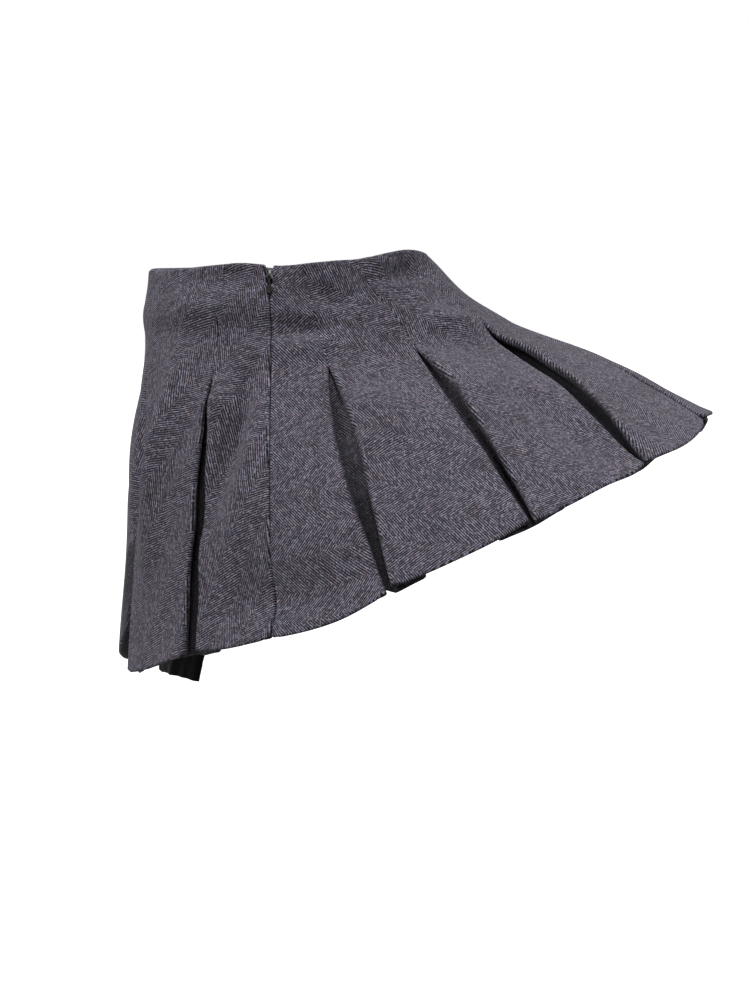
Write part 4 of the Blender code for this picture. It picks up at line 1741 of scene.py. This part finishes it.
    def make_pull(self) -> None:
        """Makes the pull: an eye round the bar, a neck and a drop-shaped plate."""
        s = self.sizes
        clear_selection()
        ring, wire = (s.eye_radius + s.eye_hole) / 2, (s.eye_radius - s.eye_hole) / 2
        bpy.ops.mesh.primitive_torus_add(major_radius=ring, minor_radius=wire,
                                         major_segments=28, minor_segments=10,
                                         rotation=(math.pi / 2, 0.0, 0.0))
        eye = bpy.context.object
        bpy.ops.object.transform_apply(location=True, rotation=True, scale=True)
        widened = (1.0, s.eye_width / (2 * wire), 1.0)
        whole_mesh_edit(lambda: bpy.ops.transform.resize(value=widened))
        bpy.ops.object.shade_smooth()
        half, neck = s.pull_thickness / 2, s.pull_neck / 2
        plate = box_piece("tab", (-half, -neck, -s.pull_length), (half, neck, -ring))
        whole_mesh_edit(lambda: bpy.ops.mesh.subdivide(number_cuts=11))
        for vertex in plate.data.vertices:
            part = (-vertex.co.z - ring) / (s.pull_length - ring)
            wide = neck + (s.pull_width - s.pull_neck) / 2 * float(
                smooth_step(np.array(part), *s.pull_flare))
            end = max(0.0, (part - s.pull_end) / (1 - s.pull_end))
            vertex.co.y *= wide * math.sqrt(max(0.0, 1 - end * end * s.pull_round)) / neck
        low, high, aside = (part * size for part, size in zip(
            s.panel, (-s.pull_length, -s.pull_length, s.pull_width)))

        def on_panel(face: bmesh.types.BMFace) -> bool:
            """Says whether a face belongs to the pull's sunk panel.

            Args:
                face: The face.

            Returns:
                Whether it lies inside the panel.
            """
            middle = face.calc_center_median()
            return (abs(face.normal.x) > ALIGNED and low < middle.z < high
                    and abs(middle.y) < aside)

        choose(plate, "FACE", on_panel)
        bpy.ops.mesh.inset(thickness=s.panel_sunk[0], depth=s.panel_sunk[1])
        soften(plate, s.pull_edge)
        pull = join_pieces("zip_pull_tab", [eye, plate])
        bar = Vector((s.face + s.bar_lift, 0.0, -s.bar_drop))
        pull.data.transform(Matrix.Translation(bar))
        pull.data.transform(self.slider_place())
        self.keep(pull, "pull_metal", "zip_pull", PULL_BODY)

    def make_stop(self) -> None:
        """Makes the small clamp that ends the coil."""
        clamp = box_piece("zip_stop", self.stop_low, self.stop_high)
        soften(clamp, self.stop_edge, 3)
        depth = self.tape_depth + self.tape + self.stop_lift
        clamp.data.transform(self.places(np.array([self.stop_share]), depth)[0])
        self.keep(clamp, "slider_metal")

    def slider_place(self) -> Matrix:
        """Gives the slider's place, which is on the form itself."""
        return self.places(np.array([SLIDER_DROP / CLOTH_LENGTH]))[0]

    def build(self) -> dict[str, Piece]:
        """Makes every piece of the zip.

        Returns:
            The pieces by name.
        """
        self.make_tape()
        self.make_coil()
        self.make_stop()
        self.make_slider()
        self.make_pull()
        return self.pieces


# --------------------------------------------------------------------------- finishes


class Nodes:
    """Adds nodes to a tree in short lines."""

    def __init__(self, tree: Tree) -> None:
        """Starts with an empty tree."""
        self.tree = tree
        tree.nodes.clear()

    def add(self, kind: str, settings: dict | None = None, **inputs: object) -> bpy.types.Node:
        """Adds a node.

        Args:
            kind: The node's type.
            settings: Its properties.
            **inputs: Values or sockets for its inputs, as in connect.

        Returns:
            The node.
        """
        node = self.tree.nodes.new(kind)
        for key, value in (settings or {}).items():
            setattr(node, key, value)
        self.connect(node, **inputs)
        return node

    def connect(self, node: bpy.types.Node, **inputs: object) -> None:
        """Gives a node's inputs their values or links.

        Args:
            node: The node.
            **inputs: Values or sockets for its inputs, by name, with _ for a space,
                or by number after the letter i.
        """
        for key, value in inputs.items():
            numbered = key[0] == "i" and key[1:].isdigit()
            socket = node.inputs[int(key[1:]) if numbered else key.replace("_", " ")]
            if isinstance(value, Socket):
                self.tree.links.new(value, socket)
            else:
                socket.default_value = value

    def math(self, operation: str, *values: object) -> Socket:
        """Adds a Math node and gives its output."""
        inputs = {f"i{k}": value for k, value in enumerate(values)}
        return self.add("ShaderNodeMath", {"operation": operation}, **inputs).outputs[0]

    def times(self, first: object, second: object) -> Socket:
        """Multiplies two values."""
        return self.math("MULTIPLY", first, second)

    def plus(self, first: object, second: object) -> Socket:
        """Adds two values together."""
        return self.math("ADD", first, second)

    def noise(self, vector: Socket, scale: object, detail: float = 2.0,
              rough: float = 0.5) -> Socket:
        """Adds a Noise Texture and gives its value."""
        return self.add("ShaderNodeTexNoise", None, Vector=vector, Scale=scale, Detail=detail,
                        Roughness=rough).outputs[0]

    def ramp(self, value: Socket, low: object, high: object, to_low: object = 0.0,
             to_high: object = 1.0) -> Socket:
        """Adds a clamped Map Range node and gives its value."""
        return self.add("ShaderNodeMapRange", {"clamp": True}, Value=value, From_Min=low,
                        From_Max=high, To_Min=to_low, To_Max=to_high).outputs[0]

    def blend(self, factor: object, first: object, second: object, kind: str = "MIX") -> Socket:
        """Mixes two colours and gives the result."""
        return self.add("ShaderNodeMix", {"data_type": "RGBA", "blend_type": kind},
                        i0=factor, i6=first, i7=second).outputs[2]

    def grey(self, value: Socket) -> Socket:
        """Makes a grey colour of a value."""
        return self.add("ShaderNodeCombineColor", None, Red=value, Green=value,
                        Blue=value).outputs[0]

    def group(self, tree: Tree, **inputs: object) -> bpy.types.Node:
        """Places a shared node group."""
        return self.add("ShaderNodeGroup", {"node_tree": tree}, **inputs)

    def bump(self, strength: float, distance: float, height: Socket) -> Socket:
        """Adds a Bump node and gives its normal."""
        return self.add("ShaderNodeBump", None, Strength=strength, Distance=distance,
                        Height=height).outputs[0]

    def surface(self, **inputs: object) -> None:
        """Ends a material with its shader and its output."""
        shader = self.add("ShaderNodeBsdfPrincipled", None, **inputs)
        self.add("ShaderNodeOutputMaterial", None, Surface=shader.outputs[0])


def new_group(name: str, inputs: dict[str, tuple[str, object]], outputs: dict[str, str]
              ) -> tuple[Tree, Nodes, bpy.types.Node, bpy.types.Node]:
    """Starts a node group.

    Args:
        name: The group's name.
        inputs: For each input its socket type and value.
        outputs: For each output its socket type.

    Returns:
        The group, its node adder, and its input and output nodes.
    """
    tree = bpy.data.node_groups.new(name, "ShaderNodeTree")
    for label, (kind, value) in inputs.items():
        socket = tree.interface.new_socket(name=label, in_out="INPUT", socket_type=kind)
        if value is not None:
            socket.default_value = value
    for label, kind in outputs.items():
        tree.interface.new_socket(name=label, in_out="OUTPUT", socket_type=kind)
    nodes = Nodes(tree)
    return tree, nodes, nodes.add("NodeGroupInput"), nodes.add("NodeGroupOutput")


FLOAT, VECTOR = "NodeSocketFloat", "NodeSocketVector"

# Where nearly all of a noise's values lie.
NOISE_RANGE = (0.3, 0.7)

# The weave: the part of a rib's wave, from trough to crest, over which it rises, the same
# for its strokes, how finely its ribs waver, and by how many strokes two ribs differ.
RIB_RISE = (-0.62, 0.80)
STROKE_RISE = (-1.0, -0.2)
WAVER_SCALE = 260.0
STROKE_SCATTER = 7.0

# The fibres: how high a noise has to be to show as a fleck, less a part of their share,
# and how quickly one rises; and the noises' (scale, part) that make up the fuzz.
FLECK_FROM, FLECK_SHARE, FLECK_RISE = 0.72, 0.22, 0.12
FINE_FUZZ = (2.3, 0.65)
BROAD_FUZZ = (0.28, 0.35)


def herringbone_group() -> Tree:
    """Builds the herringbone: ribs that lean one way in a band and back in the next.

    Returns:
        The group, whose outputs are the ribs' height, the height of the strokes that
        each rib is broken into, and a chance value for each stroke.
    """
    tree, n, given, result = new_group(
        "herringbone weave",
        {"Place": (VECTOR, None), "Pitch": (FLOAT, 0.0017), "Band": (FLOAT, 0.022),
         "Lean": (FLOAT, 0.75), "Waver": (FLOAT, 0.45), "Stroke": (FLOAT, 0.0046)},
        {"Rib": FLOAT, "Float": FLOAT, "Yarn": FLOAT})
    place, pitch, band = given.outputs["Place"], given.outputs["Pitch"], given.outputs["Band"]
    lean, waver = given.outputs["Lean"], given.outputs["Waver"]
    split = n.add("ShaderNodeSeparateXYZ", None, Vector=place)
    x, y = split.outputs[0], split.outputs[1]
    fold = n.math("PINGPONG", x, band)
    side = n.math("MODULO", n.math("FLOOR", n.math("DIVIDE", x, band)), 2.0)
    side = n.math("ABSOLUTE", side)
    cosine, sine = n.math("COSINE", lean), n.math("SINE", lean)
    across = n.math("SUBTRACT", n.times(fold, cosine), n.times(y, sine))
    along = n.plus(n.times(fold, sine), n.times(y, cosine))
    drift = n.math("SUBTRACT", n.noise(place, WAVER_SCALE), 0.5)
    turns = n.plus(n.math("DIVIDE", across, pitch), n.times(drift, waver))
    turns = n.plus(turns, n.times(side, 0.5))
    rib = n.ramp(n.math("COSINE", n.times(turns, 2 * math.pi)), *RIB_RISE)
    row = n.math("FLOOR", n.plus(turns, 0.5))
    row_place = n.add("ShaderNodeCombineXYZ", None, X=row, Y=side, Z=0.0).outputs[0]
    row_start = n.add("ShaderNodeTexWhiteNoise", {"noise_dimensions": "3D"},
                      Vector=row_place).outputs[0]
    run = n.plus(n.math("DIVIDE", along, given.outputs["Stroke"]),
                 n.times(row_start, STROKE_SCATTER))
    floats = n.ramp(n.math("COSINE", n.times(run, 2 * math.pi)), *STROKE_RISE)
    cell = n.add("ShaderNodeCombineXYZ", None, X=row, Z=side,
                 Y=n.math("FLOOR", n.plus(run, 0.5))).outputs[0]
    yarn = n.add("ShaderNodeTexWhiteNoise", {"noise_dimensions": "3D"}, Vector=cell).outputs[0]
    n.connect(result, Rib=rib, Float=floats, Yarn=yarn)
    return tree


def wool_fibre_group() -> Tree:
    """Builds the wool's fibres: pale and dark flecks, and the fuzz over the weave.

    Returns:
        The group.
    """
    tree, n, given, result = new_group(
        "wool fibre",
        {"Place": (VECTOR, None), "Fleck": (FLOAT, 640.0), "Share": (FLOAT, 0.62)},
        {"Pale": FLOAT, "Dark": FLOAT, "Fuzz": FLOAT})
    place, fleck, share = given.outputs["Place"], given.outputs["Fleck"], given.outputs["Share"]
    low = n.math("SUBTRACT", FLECK_FROM, n.times(share, FLECK_SHARE))
    high = n.plus(low, FLECK_RISE)
    shifted = n.add("ShaderNodeVectorMath", {"operation": "ADD"}, i0=place,
                    i1=(0.37, 0.11, 0.0)).outputs[0]
    pale = n.ramp(n.noise(place, fleck, 1.5, 0.6), low, high)
    dark = n.ramp(n.noise(shifted, n.times(fleck, 0.8), 1.5, 0.6), low, high)
    fine = n.noise(place, n.times(fleck, FINE_FUZZ[0]), 3.0, 0.7)
    broad = n.noise(place, n.times(fleck, BROAD_FUZZ[0]))
    fuzz = n.plus(n.times(fine, FINE_FUZZ[1]), n.times(broad, BROAD_FUZZ[1]))
    n.connect(result, Pale=pale, Dark=dark, Fuzz=fuzz)
    return tree


def wear_group() -> Tree:
    """Builds soft patches of handling: rubbed places and faint smears.

    Returns:
        The group.
    """
    tree, n, given, result = new_group(
        "handling", {"Place": (VECTOR, None), "Size": (FLOAT, 0.04)},
        {"Rubbed": FLOAT, "Smear": FLOAT})
    scale = n.math("DIVIDE", 1.0, given.outputs["Size"])
    rubbed = n.ramp(n.noise(given.outputs["Place"], scale, 3.0, 0.55), 0.35, 0.70)
    smear = n.noise(given.outputs["Place"], n.times(scale, 7.0), 4.0, 0.6)
    n.connect(result, Rubbed=rubbed, Smear=smear)
    return tree


@dataclass(frozen=True)
class Shared:
    """The node groups that several finishes use."""

    weave: Tree
    fibre: Tree
    wear: Tree


def new_material(name: str) -> tuple[bpy.types.Material, Nodes]:
    """Starts a material with an empty tree.

    Args:
        name: The material's name.

    Returns:
        The material and its node adder.
    """
    material = bpy.data.materials.new(name)
    material.use_nodes = True
    return material, Nodes(material.node_tree)


def colour(rgb: Sequence[float], level: float = 1.0) -> tuple[float, ...]:
    """Gives a colour at a part of its level, with full alpha."""
    return (*(value * level for value in rgb), 1.0)


@dataclass(frozen=True)
class WoolFinish:
    """The herringbone wool: dark warp, grey weft, flecks and a soft sheen.

    painted_shade_level is how light the cloth is painted where painted shade lies on it. Waver,
    share and size are the shared groups' own values, and fuzz the darkest and lightest of the nap.
    """

    name: str
    ground: tuple[float, float, float]
    rib: tuple[float, float, float]
    pale: tuple[float, float, float]
    pitch: float = 0.00168
    band: float = 0.0222
    lean: float = 0.75
    stroke: float = 0.0046
    painted_shade_level: float = 0.35
    fleck: float = 640.0
    waver: float = 0.45
    share: float = 0.62
    size: float = 0.05
    fuzz: tuple[float, float] = (0.62, 1.40)
    warm: tuple[float, float, float] = (1.10, 0.98, 0.98)
    cool: tuple[float, float, float] = (0.92, 1.01, 1.10)
    sheen: float = 0.06
    sheen_tint: tuple[float, float, float] = (0.80, 0.78, 0.86)
    rough: float = 0.9
    bump: float = 0.0005

    def build(self, shared: Shared) -> bpy.types.Material:
        """Makes the material.

        Args:
            shared: The node groups.

        Returns:
            The material.
        """
        material, n = new_material(self.name)
        flat = n.add("ShaderNodeUVMap", {"uv_map": "cloth"}).outputs[0]
        solid = n.add("ShaderNodeTexCoord").outputs["Object"]
        weave = n.group(shared.weave, Place=flat, Pitch=self.pitch, Band=self.band,
                        Lean=self.lean, Waver=self.waver, Stroke=self.stroke).outputs
        fibre = n.group(shared.fibre, Place=flat, Fleck=self.fleck, Share=self.share).outputs
        wear = n.group(shared.wear, Place=solid, Size=self.size).outputs
        relief = n.times(weave["Rib"], n.ramp(weave["Float"], 0.0, 1.0, 0.6, 1.0))
        thread = n.blend(n.ramp(weave["Yarn"], 0.0, 1.0, 0.20, 0.80), colour(self.rib),
                         colour(self.pale))
        tint = n.blend(n.math("FRACT", n.times(weave["Yarn"], 7.3)), colour(self.warm),
                       colour(self.cool))
        thread = n.blend(1.0, thread, tint, "MULTIPLY")
        tone = n.blend(relief, colour(self.ground), thread)
        tone = n.blend(n.times(fibre["Pale"], 0.80), tone, colour(self.pale))
        tone = n.blend(n.times(fibre["Dark"], 0.70), tone, colour(self.ground, 0.35))
        patch = n.ramp(wear["Rubbed"], 0.0, 1.0, 0.93, 1.07)
        fuzz = n.ramp(fibre["Fuzz"], *NOISE_RANGE, *self.fuzz)
        # Painted shade: the painted_shade attribute darkens the cloth in and beside the folds.
        painted_shade = n.add("ShaderNodeAttribute", {"attribute_name": "painted_shade"}).outputs["Fac"]
        painted_shade_level = n.ramp(painted_shade, 0.0, 1.0, 1.0, self.painted_shade_level)
        tone = n.blend(1.0, tone, n.grey(n.times(n.times(patch, fuzz), painted_shade_level)), "MULTIPLY")
        height = n.plus(n.times(relief, 0.6), n.times(fibre["Fuzz"], 0.55))
        n.surface(Base_Color=tone, Roughness=self.rough, Normal=n.bump(0.8, self.bump, height),
                  Sheen_Weight=self.sheen, Sheen_Roughness=0.45,
                  Sheen_Tint=colour(self.sheen_tint), Specular_IOR_Level=0.2)
        return material


@dataclass(frozen=True)
class SatinFinish:
    """A fine black cloth with a twill too small to see and a soft gloss."""

    name: str
    tone: tuple[float, float, float]
    rough: float
    thread: float = 0.00045
    bump: float = 0.00006

    def build(self, shared: Shared) -> bpy.types.Material:
        """Makes the material.

        Args:
            shared: The node groups.

        Returns:
            The material.
        """
        material, n = new_material(self.name)
        flat = n.add("ShaderNodeUVMap", {"uv_map": "cloth"}).outputs[0]
        solid = n.add("ShaderNodeTexCoord").outputs["Object"]
        wear = n.group(shared.wear, Place=solid, Size=0.03).outputs
        split = n.add("ShaderNodeSeparateXYZ", None, Vector=flat).outputs
        wave = n.math("SINE", n.times(n.plus(split[0], split[1]), 2 * math.pi / self.thread))
        grain = n.noise(flat, 2200.0)
        smear = n.ramp(wear["Smear"], *NOISE_RANGE, self.rough - 0.07, self.rough + 0.09)
        level = n.grey(n.ramp(grain, *NOISE_RANGE, 0.75, 1.5))
        height = n.plus(n.times(wave, 0.5), grain)
        n.surface(Base_Color=n.blend(1.0, colour(self.tone), level, "MULTIPLY"),
                  Roughness=smear, Normal=n.bump(0.6, self.bump, height),
                  Specular_IOR_Level=0.03)
        return material


@dataclass(frozen=True)
class MetalFinish:
    """A darkened or painted metal with worn edges and fine scratches."""

    name: str
    tone: tuple[float, float, float]
    worn: tuple[float, float, float]
    metallic: float
    rough: float
    gloss: float

    def build(self, shared: Shared) -> bpy.types.Material:
        """Makes the material.

        Args:
            shared: The node groups.

        Returns:
            The material.
        """
        material, n = new_material(self.name)
        solid = n.add("ShaderNodeTexCoord").outputs["Object"]
        wear = n.group(shared.wear, Place=solid, Size=0.0022).outputs
        stretched = n.add("ShaderNodeMapping", None, Vector=solid, Scale=(6000.0, 6000.0, 900.0))
        scratch = n.noise(stretched.outputs[0], 1.0, 3.0, 0.7)
        tone = n.blend(n.times(wear["Rubbed"], 0.55), colour(self.tone), colour(self.worn))
        rough = n.ramp(scratch, *NOISE_RANGE, self.rough - 0.06, self.rough + 0.14)
        n.surface(Base_Color=tone, Roughness=rough, Metallic=self.metallic,
                  Normal=n.bump(0.35, 0.00003, scratch), Specular_IOR_Level=self.gloss)
        return material


WOOL = WoolFinish("herringbone wool", (0.004, 0.003, 0.005), (0.022, 0.019, 0.027),
                  (0.280, 0.257, 0.317))
# Painted shade: a darker copy of the wool, for the cloth inside the pleats.
WOOL_PAINTED_SHADE = WoolFinish("herringbone wool, painted shade in the pleats", (0.006, 0.005, 0.007),
                       (0.028, 0.025, 0.032), (0.175, 0.161, 0.193), painted_shade_level=0.22)
LINING_SATIN = SatinFinish("black lining satin", (0.0014, 0.0014, 0.0016), 0.62)
TAPE = SatinFinish("black zip tape", (0.0040, 0.0040, 0.0045), 0.70, 0.0009, 0.00015)
SLIDER_METAL = MetalFinish("blackened metal", (0.004, 0.004, 0.005), (0.090, 0.088, 0.084),
                           0.25, 0.24, 0.35)
PULL_METAL = MetalFinish("black paint on metal", (0.003, 0.003, 0.004), (0.016, 0.015, 0.015), 0.0,
                         0.40, 0.12)


def dress(pieces: Iterable[Piece], material: bpy.types.Material) -> None:
    """Gives pieces one material.

    Args:
        pieces: The pieces.
        material: The material.
    """
    for piece in pieces:
        piece.data.materials.clear()
        piece.data.materials.append(material)


# --------------------------------------------------------------------------- studio


def turned_pair(first: Vector, second: Vector, degrees: float) -> tuple[Vector, Vector]:
    """Turns two axes, the first towards the second.

    Args:
        first: The first axis.
        second: The second.
        degrees: How far.

    Returns:
        Both axes, turned.
    """
    angle = math.radians(degrees)
    return (first * math.cos(angle) + second * math.sin(angle),
            second * math.cos(angle) - first * math.sin(angle))


@dataclass(frozen=True)
class Lamp:
    """One soft far lamp, with its spread in radians."""

    name: str
    place: tuple[float, float, float]
    spread: float
    power: float


LAMPS = (
    Lamp("key", (-0.14, -3.94, 3.08), 0.35, 2.10),
    Lamp("overhead", (1.87, 0.00, 4.64), 0.35, 2.10),
    Lamp("back light", (1.34, 4.12, 2.50), 0.35, 1.70),
    Lamp("fill", (4.65, -1.69, 0.70), 0.60, 0.50),
    Lamp("far side", (-4.00, 0.50, 3.00), 0.60, 0.80),
)


@dataclass(frozen=True)
class Studio:
    """The camera, the pale floor and the soft lights.

    The camera stands at a distance from the waist, at an azimuth and elevation, and is
    turned from there by yaw, pitch and roll, all in degrees. Room is the brightness of
    the room that lights the skirt.
    """

    distance: float = 1.50
    azimuth: float = 6.5
    elevation: float = 0.65
    yaw: float = 2.382
    pitch: float = 7.262
    roll: float = -2.2
    lens: float = 68.36
    sensor: float = 36.0
    clip: tuple[float, float] = (0.05, 50.0)
    floor_size: float = 24.0
    floor_drop: float = 0.48
    floor_tone: tuple[float, float] = (0.90, 0.93)
    room: float = 0.09
    aim: tuple[float, float, float] = (0.05, 0.05, -0.15)

    def camera(self) -> None:
        """Makes the camera."""
        a, e = math.radians(self.azimuth), math.radians(self.elevation)
        place = Vector((math.cos(e) * math.cos(a), math.cos(e) * math.sin(a), math.sin(e)))
        place *= self.distance
        ahead = -place.normalized()
        right = ahead.cross(Vector((0, 0, 1))).normalized()
        up = right.cross(ahead)
        ahead, right = turned_pair(ahead, right, self.yaw)
        up, ahead = turned_pair(up, ahead, self.pitch)
        right, up = turned_pair(right, up, self.roll)
        data = bpy.data.cameras.new("camera")
        data.lens, data.sensor_width = self.lens, self.sensor
        data.clip_start, data.clip_end = self.clip
        item = bpy.data.objects.new("camera", data)
        item.matrix_world = Matrix.Translation(place) @ Matrix(
            (right, up, -ahead)).transposed().to_4x4()
        bpy.context.scene.collection.objects.link(item)
        bpy.context.scene.camera = item

    def floor(self) -> None:
        """Makes the pale floor, far below the skirt."""
        low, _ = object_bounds()
        clear_selection()
        bpy.ops.mesh.primitive_plane_add(size=self.floor_size,
                                         location=(0, 0, low.z - self.floor_drop))
        floor = bpy.context.object
        floor.name = "studio_floor"
        material, n = new_material("pale floor")
        solid = n.add("ShaderNodeTexCoord").outputs["Object"]
        tone = n.grey(n.ramp(n.noise(solid, 0.8), *NOISE_RANGE, *self.floor_tone))
        n.surface(Base_Color=tone, Roughness=0.9)
        floor.data.materials.append(material)
        floor.visible_diffuse = False
        floor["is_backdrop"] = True

    def light(self, lamp: Lamp) -> None:
        """Adds one lamp that shines on the skirt.

        Args:
            lamp: The lamp.
        """
        data = bpy.data.lights.new(lamp.name, "SUN")
        data.angle, data.energy = lamp.spread, lamp.power
        item = bpy.data.objects.new(lamp.name, data)
        item.location = lamp.place
        item.rotation_mode = "QUATERNION"
        item.rotation_quaternion = (Vector(self.aim) - Vector(lamp.place)).to_track_quat("-Z", "Y")
        bpy.context.scene.collection.objects.link(item)

    def lights(self) -> None:
        """Sets the soft lights and the bright room round them."""
        world = bpy.data.worlds.new("room")
        bpy.context.scene.world = world
        world.use_nodes = True
        n = Nodes(world.node_tree)
        seen = n.add("ShaderNodeLightPath").outputs["Is Camera Ray"]
        strength = n.ramp(seen, 0.0, 1.0, self.room, 1.0)
        sky = n.add("ShaderNodeBackground", None, Color=(1.0, 1.0, 1.0, 1.0), Strength=strength)
        n.add("ShaderNodeOutputWorld", None, Surface=sky.outputs[0])
        for lamp in LAMPS:
            self.light(lamp)
        bpy.context.scene.view_settings.view_transform = "Standard"


# --------------------------------------------------------------------------- the skirt


# The cloth's troughs and ridges: wrinkles below the waist, folds that the panels hang
# in, and dents above the hem.
CREASES = (
    Crease((2.02, 0.185), (3.20, 0.192), 0.0130, -0.0080),
    Crease((2.75, 0.100), (4.10, 0.112), 0.0170, -0.0058),
    Crease((3.85, 0.070), (5.30, 0.050), 0.0120, -0.0070),
    Crease((2.60, 0.000), (3.90, 0.000), 0.0120, 0.0030),
    Crease((4.20, -0.005), (5.60, -0.005), 0.0140, 0.0085),
    Crease((0.60, 0.000), (1.90, 0.000), 0.0110, 0.0042),
    Crease((7.00, 0.000), (9.50, 0.000), 0.0120, 0.0034),
    Crease((10.5, 0.000), (12.2, 0.000), 0.0110, 0.0029),
    Crease((3.10, 0.045), (3.34, 0.140), 0.0090, -0.0026),
    Crease((0.10, 0.108), (1.95, 0.112), 0.0220, 0.0064),
    Crease((0.20, 0.172), (1.80, 0.178), 0.0120, -0.0012),
    Crease((1.80, 0.240), (3.29, 0.255), 0.0140, 0.0034),
    Crease((3.20, 0.400), (3.36, 0.640), 0.0300, 0.0110),
    Crease((4.20, 0.340), (4.22, 0.600), 0.0280, 0.0085),
    Crease((1.92, 0.330), (1.56, 0.720), 0.0180, 0.0060),
    Crease((1.66, 0.330), (1.16, 0.680), 0.0190, -0.0110),
    Crease((0.64, 0.260), (0.40, 0.720), 0.0200, 0.0140),
    Crease((0.24, 0.270), (0.27, 0.600), 0.0130, -0.0060),
    Crease((1.16, 0.330), (1.26, 0.430), 0.0180, 0.0070),
    Crease((1.35, 0.880), (2.85, 0.960), 0.0300, -0.0080),
    Crease((3.30, 0.560), (3.80, 0.820), 0.0220, -0.0039),
    Crease((4.30, 0.450), (4.60, 0.800), 0.0200, -0.0034),
    Crease((4.60, 0.700), (4.84, 1.000), 0.0280, -0.0070),
    Crease((4.20, 0.215), (5.00, 0.255), 0.0230, 0.0090),
    Crease((5.16, 0.330), (5.20, 0.520), 0.0220, 0.0060),
    Crease((5.20, 0.130), (6.60, 0.140), 0.0340, -0.0042),
    Crease((-0.21, 0.330), (-0.23, 0.560), 0.0340, 0.0045),
    Crease((-0.22, 0.090), (-0.21, 0.180), 0.0150, 0.0022),
    Crease((6.60, 0.100), (8.20, 0.120), 0.0100, -0.0044),
    Crease((8.90, 0.170), (10.30, 0.180), 0.0100, -0.0044),
    Crease((10.60, 0.100), (11.90, 0.130), 0.0100, -0.0036),
    Crease((11.60, 0.300), (11.90, 0.660), 0.0180, 0.0052),
    Crease((12.30, 0.280), (12.20, 0.620), 0.0200, 0.0044),
    Crease((7.50, 0.350), (7.30, 0.700), 0.0160, 0.0039),
    Crease((8.60, 0.330), (8.80, 0.660), 0.0160, 0.0036),
    Crease((9.60, 0.400), (9.30, 0.750), 0.0150, 0.0036),
    Crease((6.40, 0.300), (6.60, 0.600), 0.0140, 0.0031),
)
RIPPLES = (
    Ripple(5, 1.3, 0.4, 0.0005),
    Ripple(11, 2.1, 2.2, 0.0004),
    Ripple(23, 3.4, 4.1, 0.00025),
)
DRAPES = (
    Drape(50.0, 0.0010, (0.004, 0.011)),
    Drape(56.0, 0.0005, (0.012, 0.002)),
    Drape(-7.4, 0.0045, (0.0265, 0.004)),
    Drape(-30.0, 0.0010, (0.003, 0.008), (-0.003, -0.003)),
    Drape(-51.0, 0.0010, (0.011, 0.001)),
    Drape(-88.0, 0.0060, (0.006, 0.006), (-0.001, -0.003)),
    Drape(-115.0, 0.0010, (0.001, 0.009), (-0.009, 0.000)),
    Drape(-142.0, 0.0012, (0.008, 0.003)),
    Drape(-168.0, 0.0008, (0.005, 0.005)),
    Drape(-195.0, 0.0010, (0.010, 0.007)),
    Drape(56.0, 0.0006, (0.002, 0.010)),
    Drape(90.0, 0.0012, (0.007, 0.000)),
    Drape(132.0, 0.0015, (0.013, 0.004), (0.000, -0.0270)),
)


# How far the weave in a pleat is moved from the weave of the gore after it, in metres.
PLEAT_OFFSET = 0.005


class Skirt:
    """The whole skirt, built piece by piece on its form."""

    def __init__(self) -> None:
        """Makes the form that the pieces share."""
        self.form = SkirtForm(CREASES, RIPPLES)

    def build(self) -> None:
        """Makes every piece and gives it its finish."""
        shared = Shared(herringbone_group(), wool_fibre_group(), wear_group())
        gores, pleats = [], []
        for index, line in enumerate(LINES):
            drape = DRAPES[index]
            gores.append(Gore(self.form, index, drape).build())
            if line.kind is PLEAT:
                grain = (DRAPES[index - 1].grain + drape.grain) / 2
                start = (drape.start[0] + PLEAT_OFFSET, drape.start[1])
                pleats.append(PleatBack(self.form, index, grain, start).build())
        lining = Lining(self.form).build()
        pieces = Zip(self.form).build()
        dress(gores, WOOL.build(shared))
        dress(pleats, WOOL_PAINTED_SHADE.build(shared))
        dress(lining, LINING_SATIN.build(shared))
        dress((pieces["zip_tape_band"], pieces["zip_coil"]), TAPE.build(shared))
        dress((pieces["zip_slider_body"], pieces["zip_stop"]), SLIDER_METAL.build(shared))
        dress((pieces["zip_pull_tab"],), PULL_METAL.build(shared))


def main() -> None:
    """Builds the skirt and its studio."""
    logging.basicConfig(level=logging.INFO, format="%(name)s: %(message)s")
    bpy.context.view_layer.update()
    Skirt().build()
    studio = Studio()
    studio.floor()
    studio.camera()
    studio.lights()


if __name__ == "__main__":
    main()
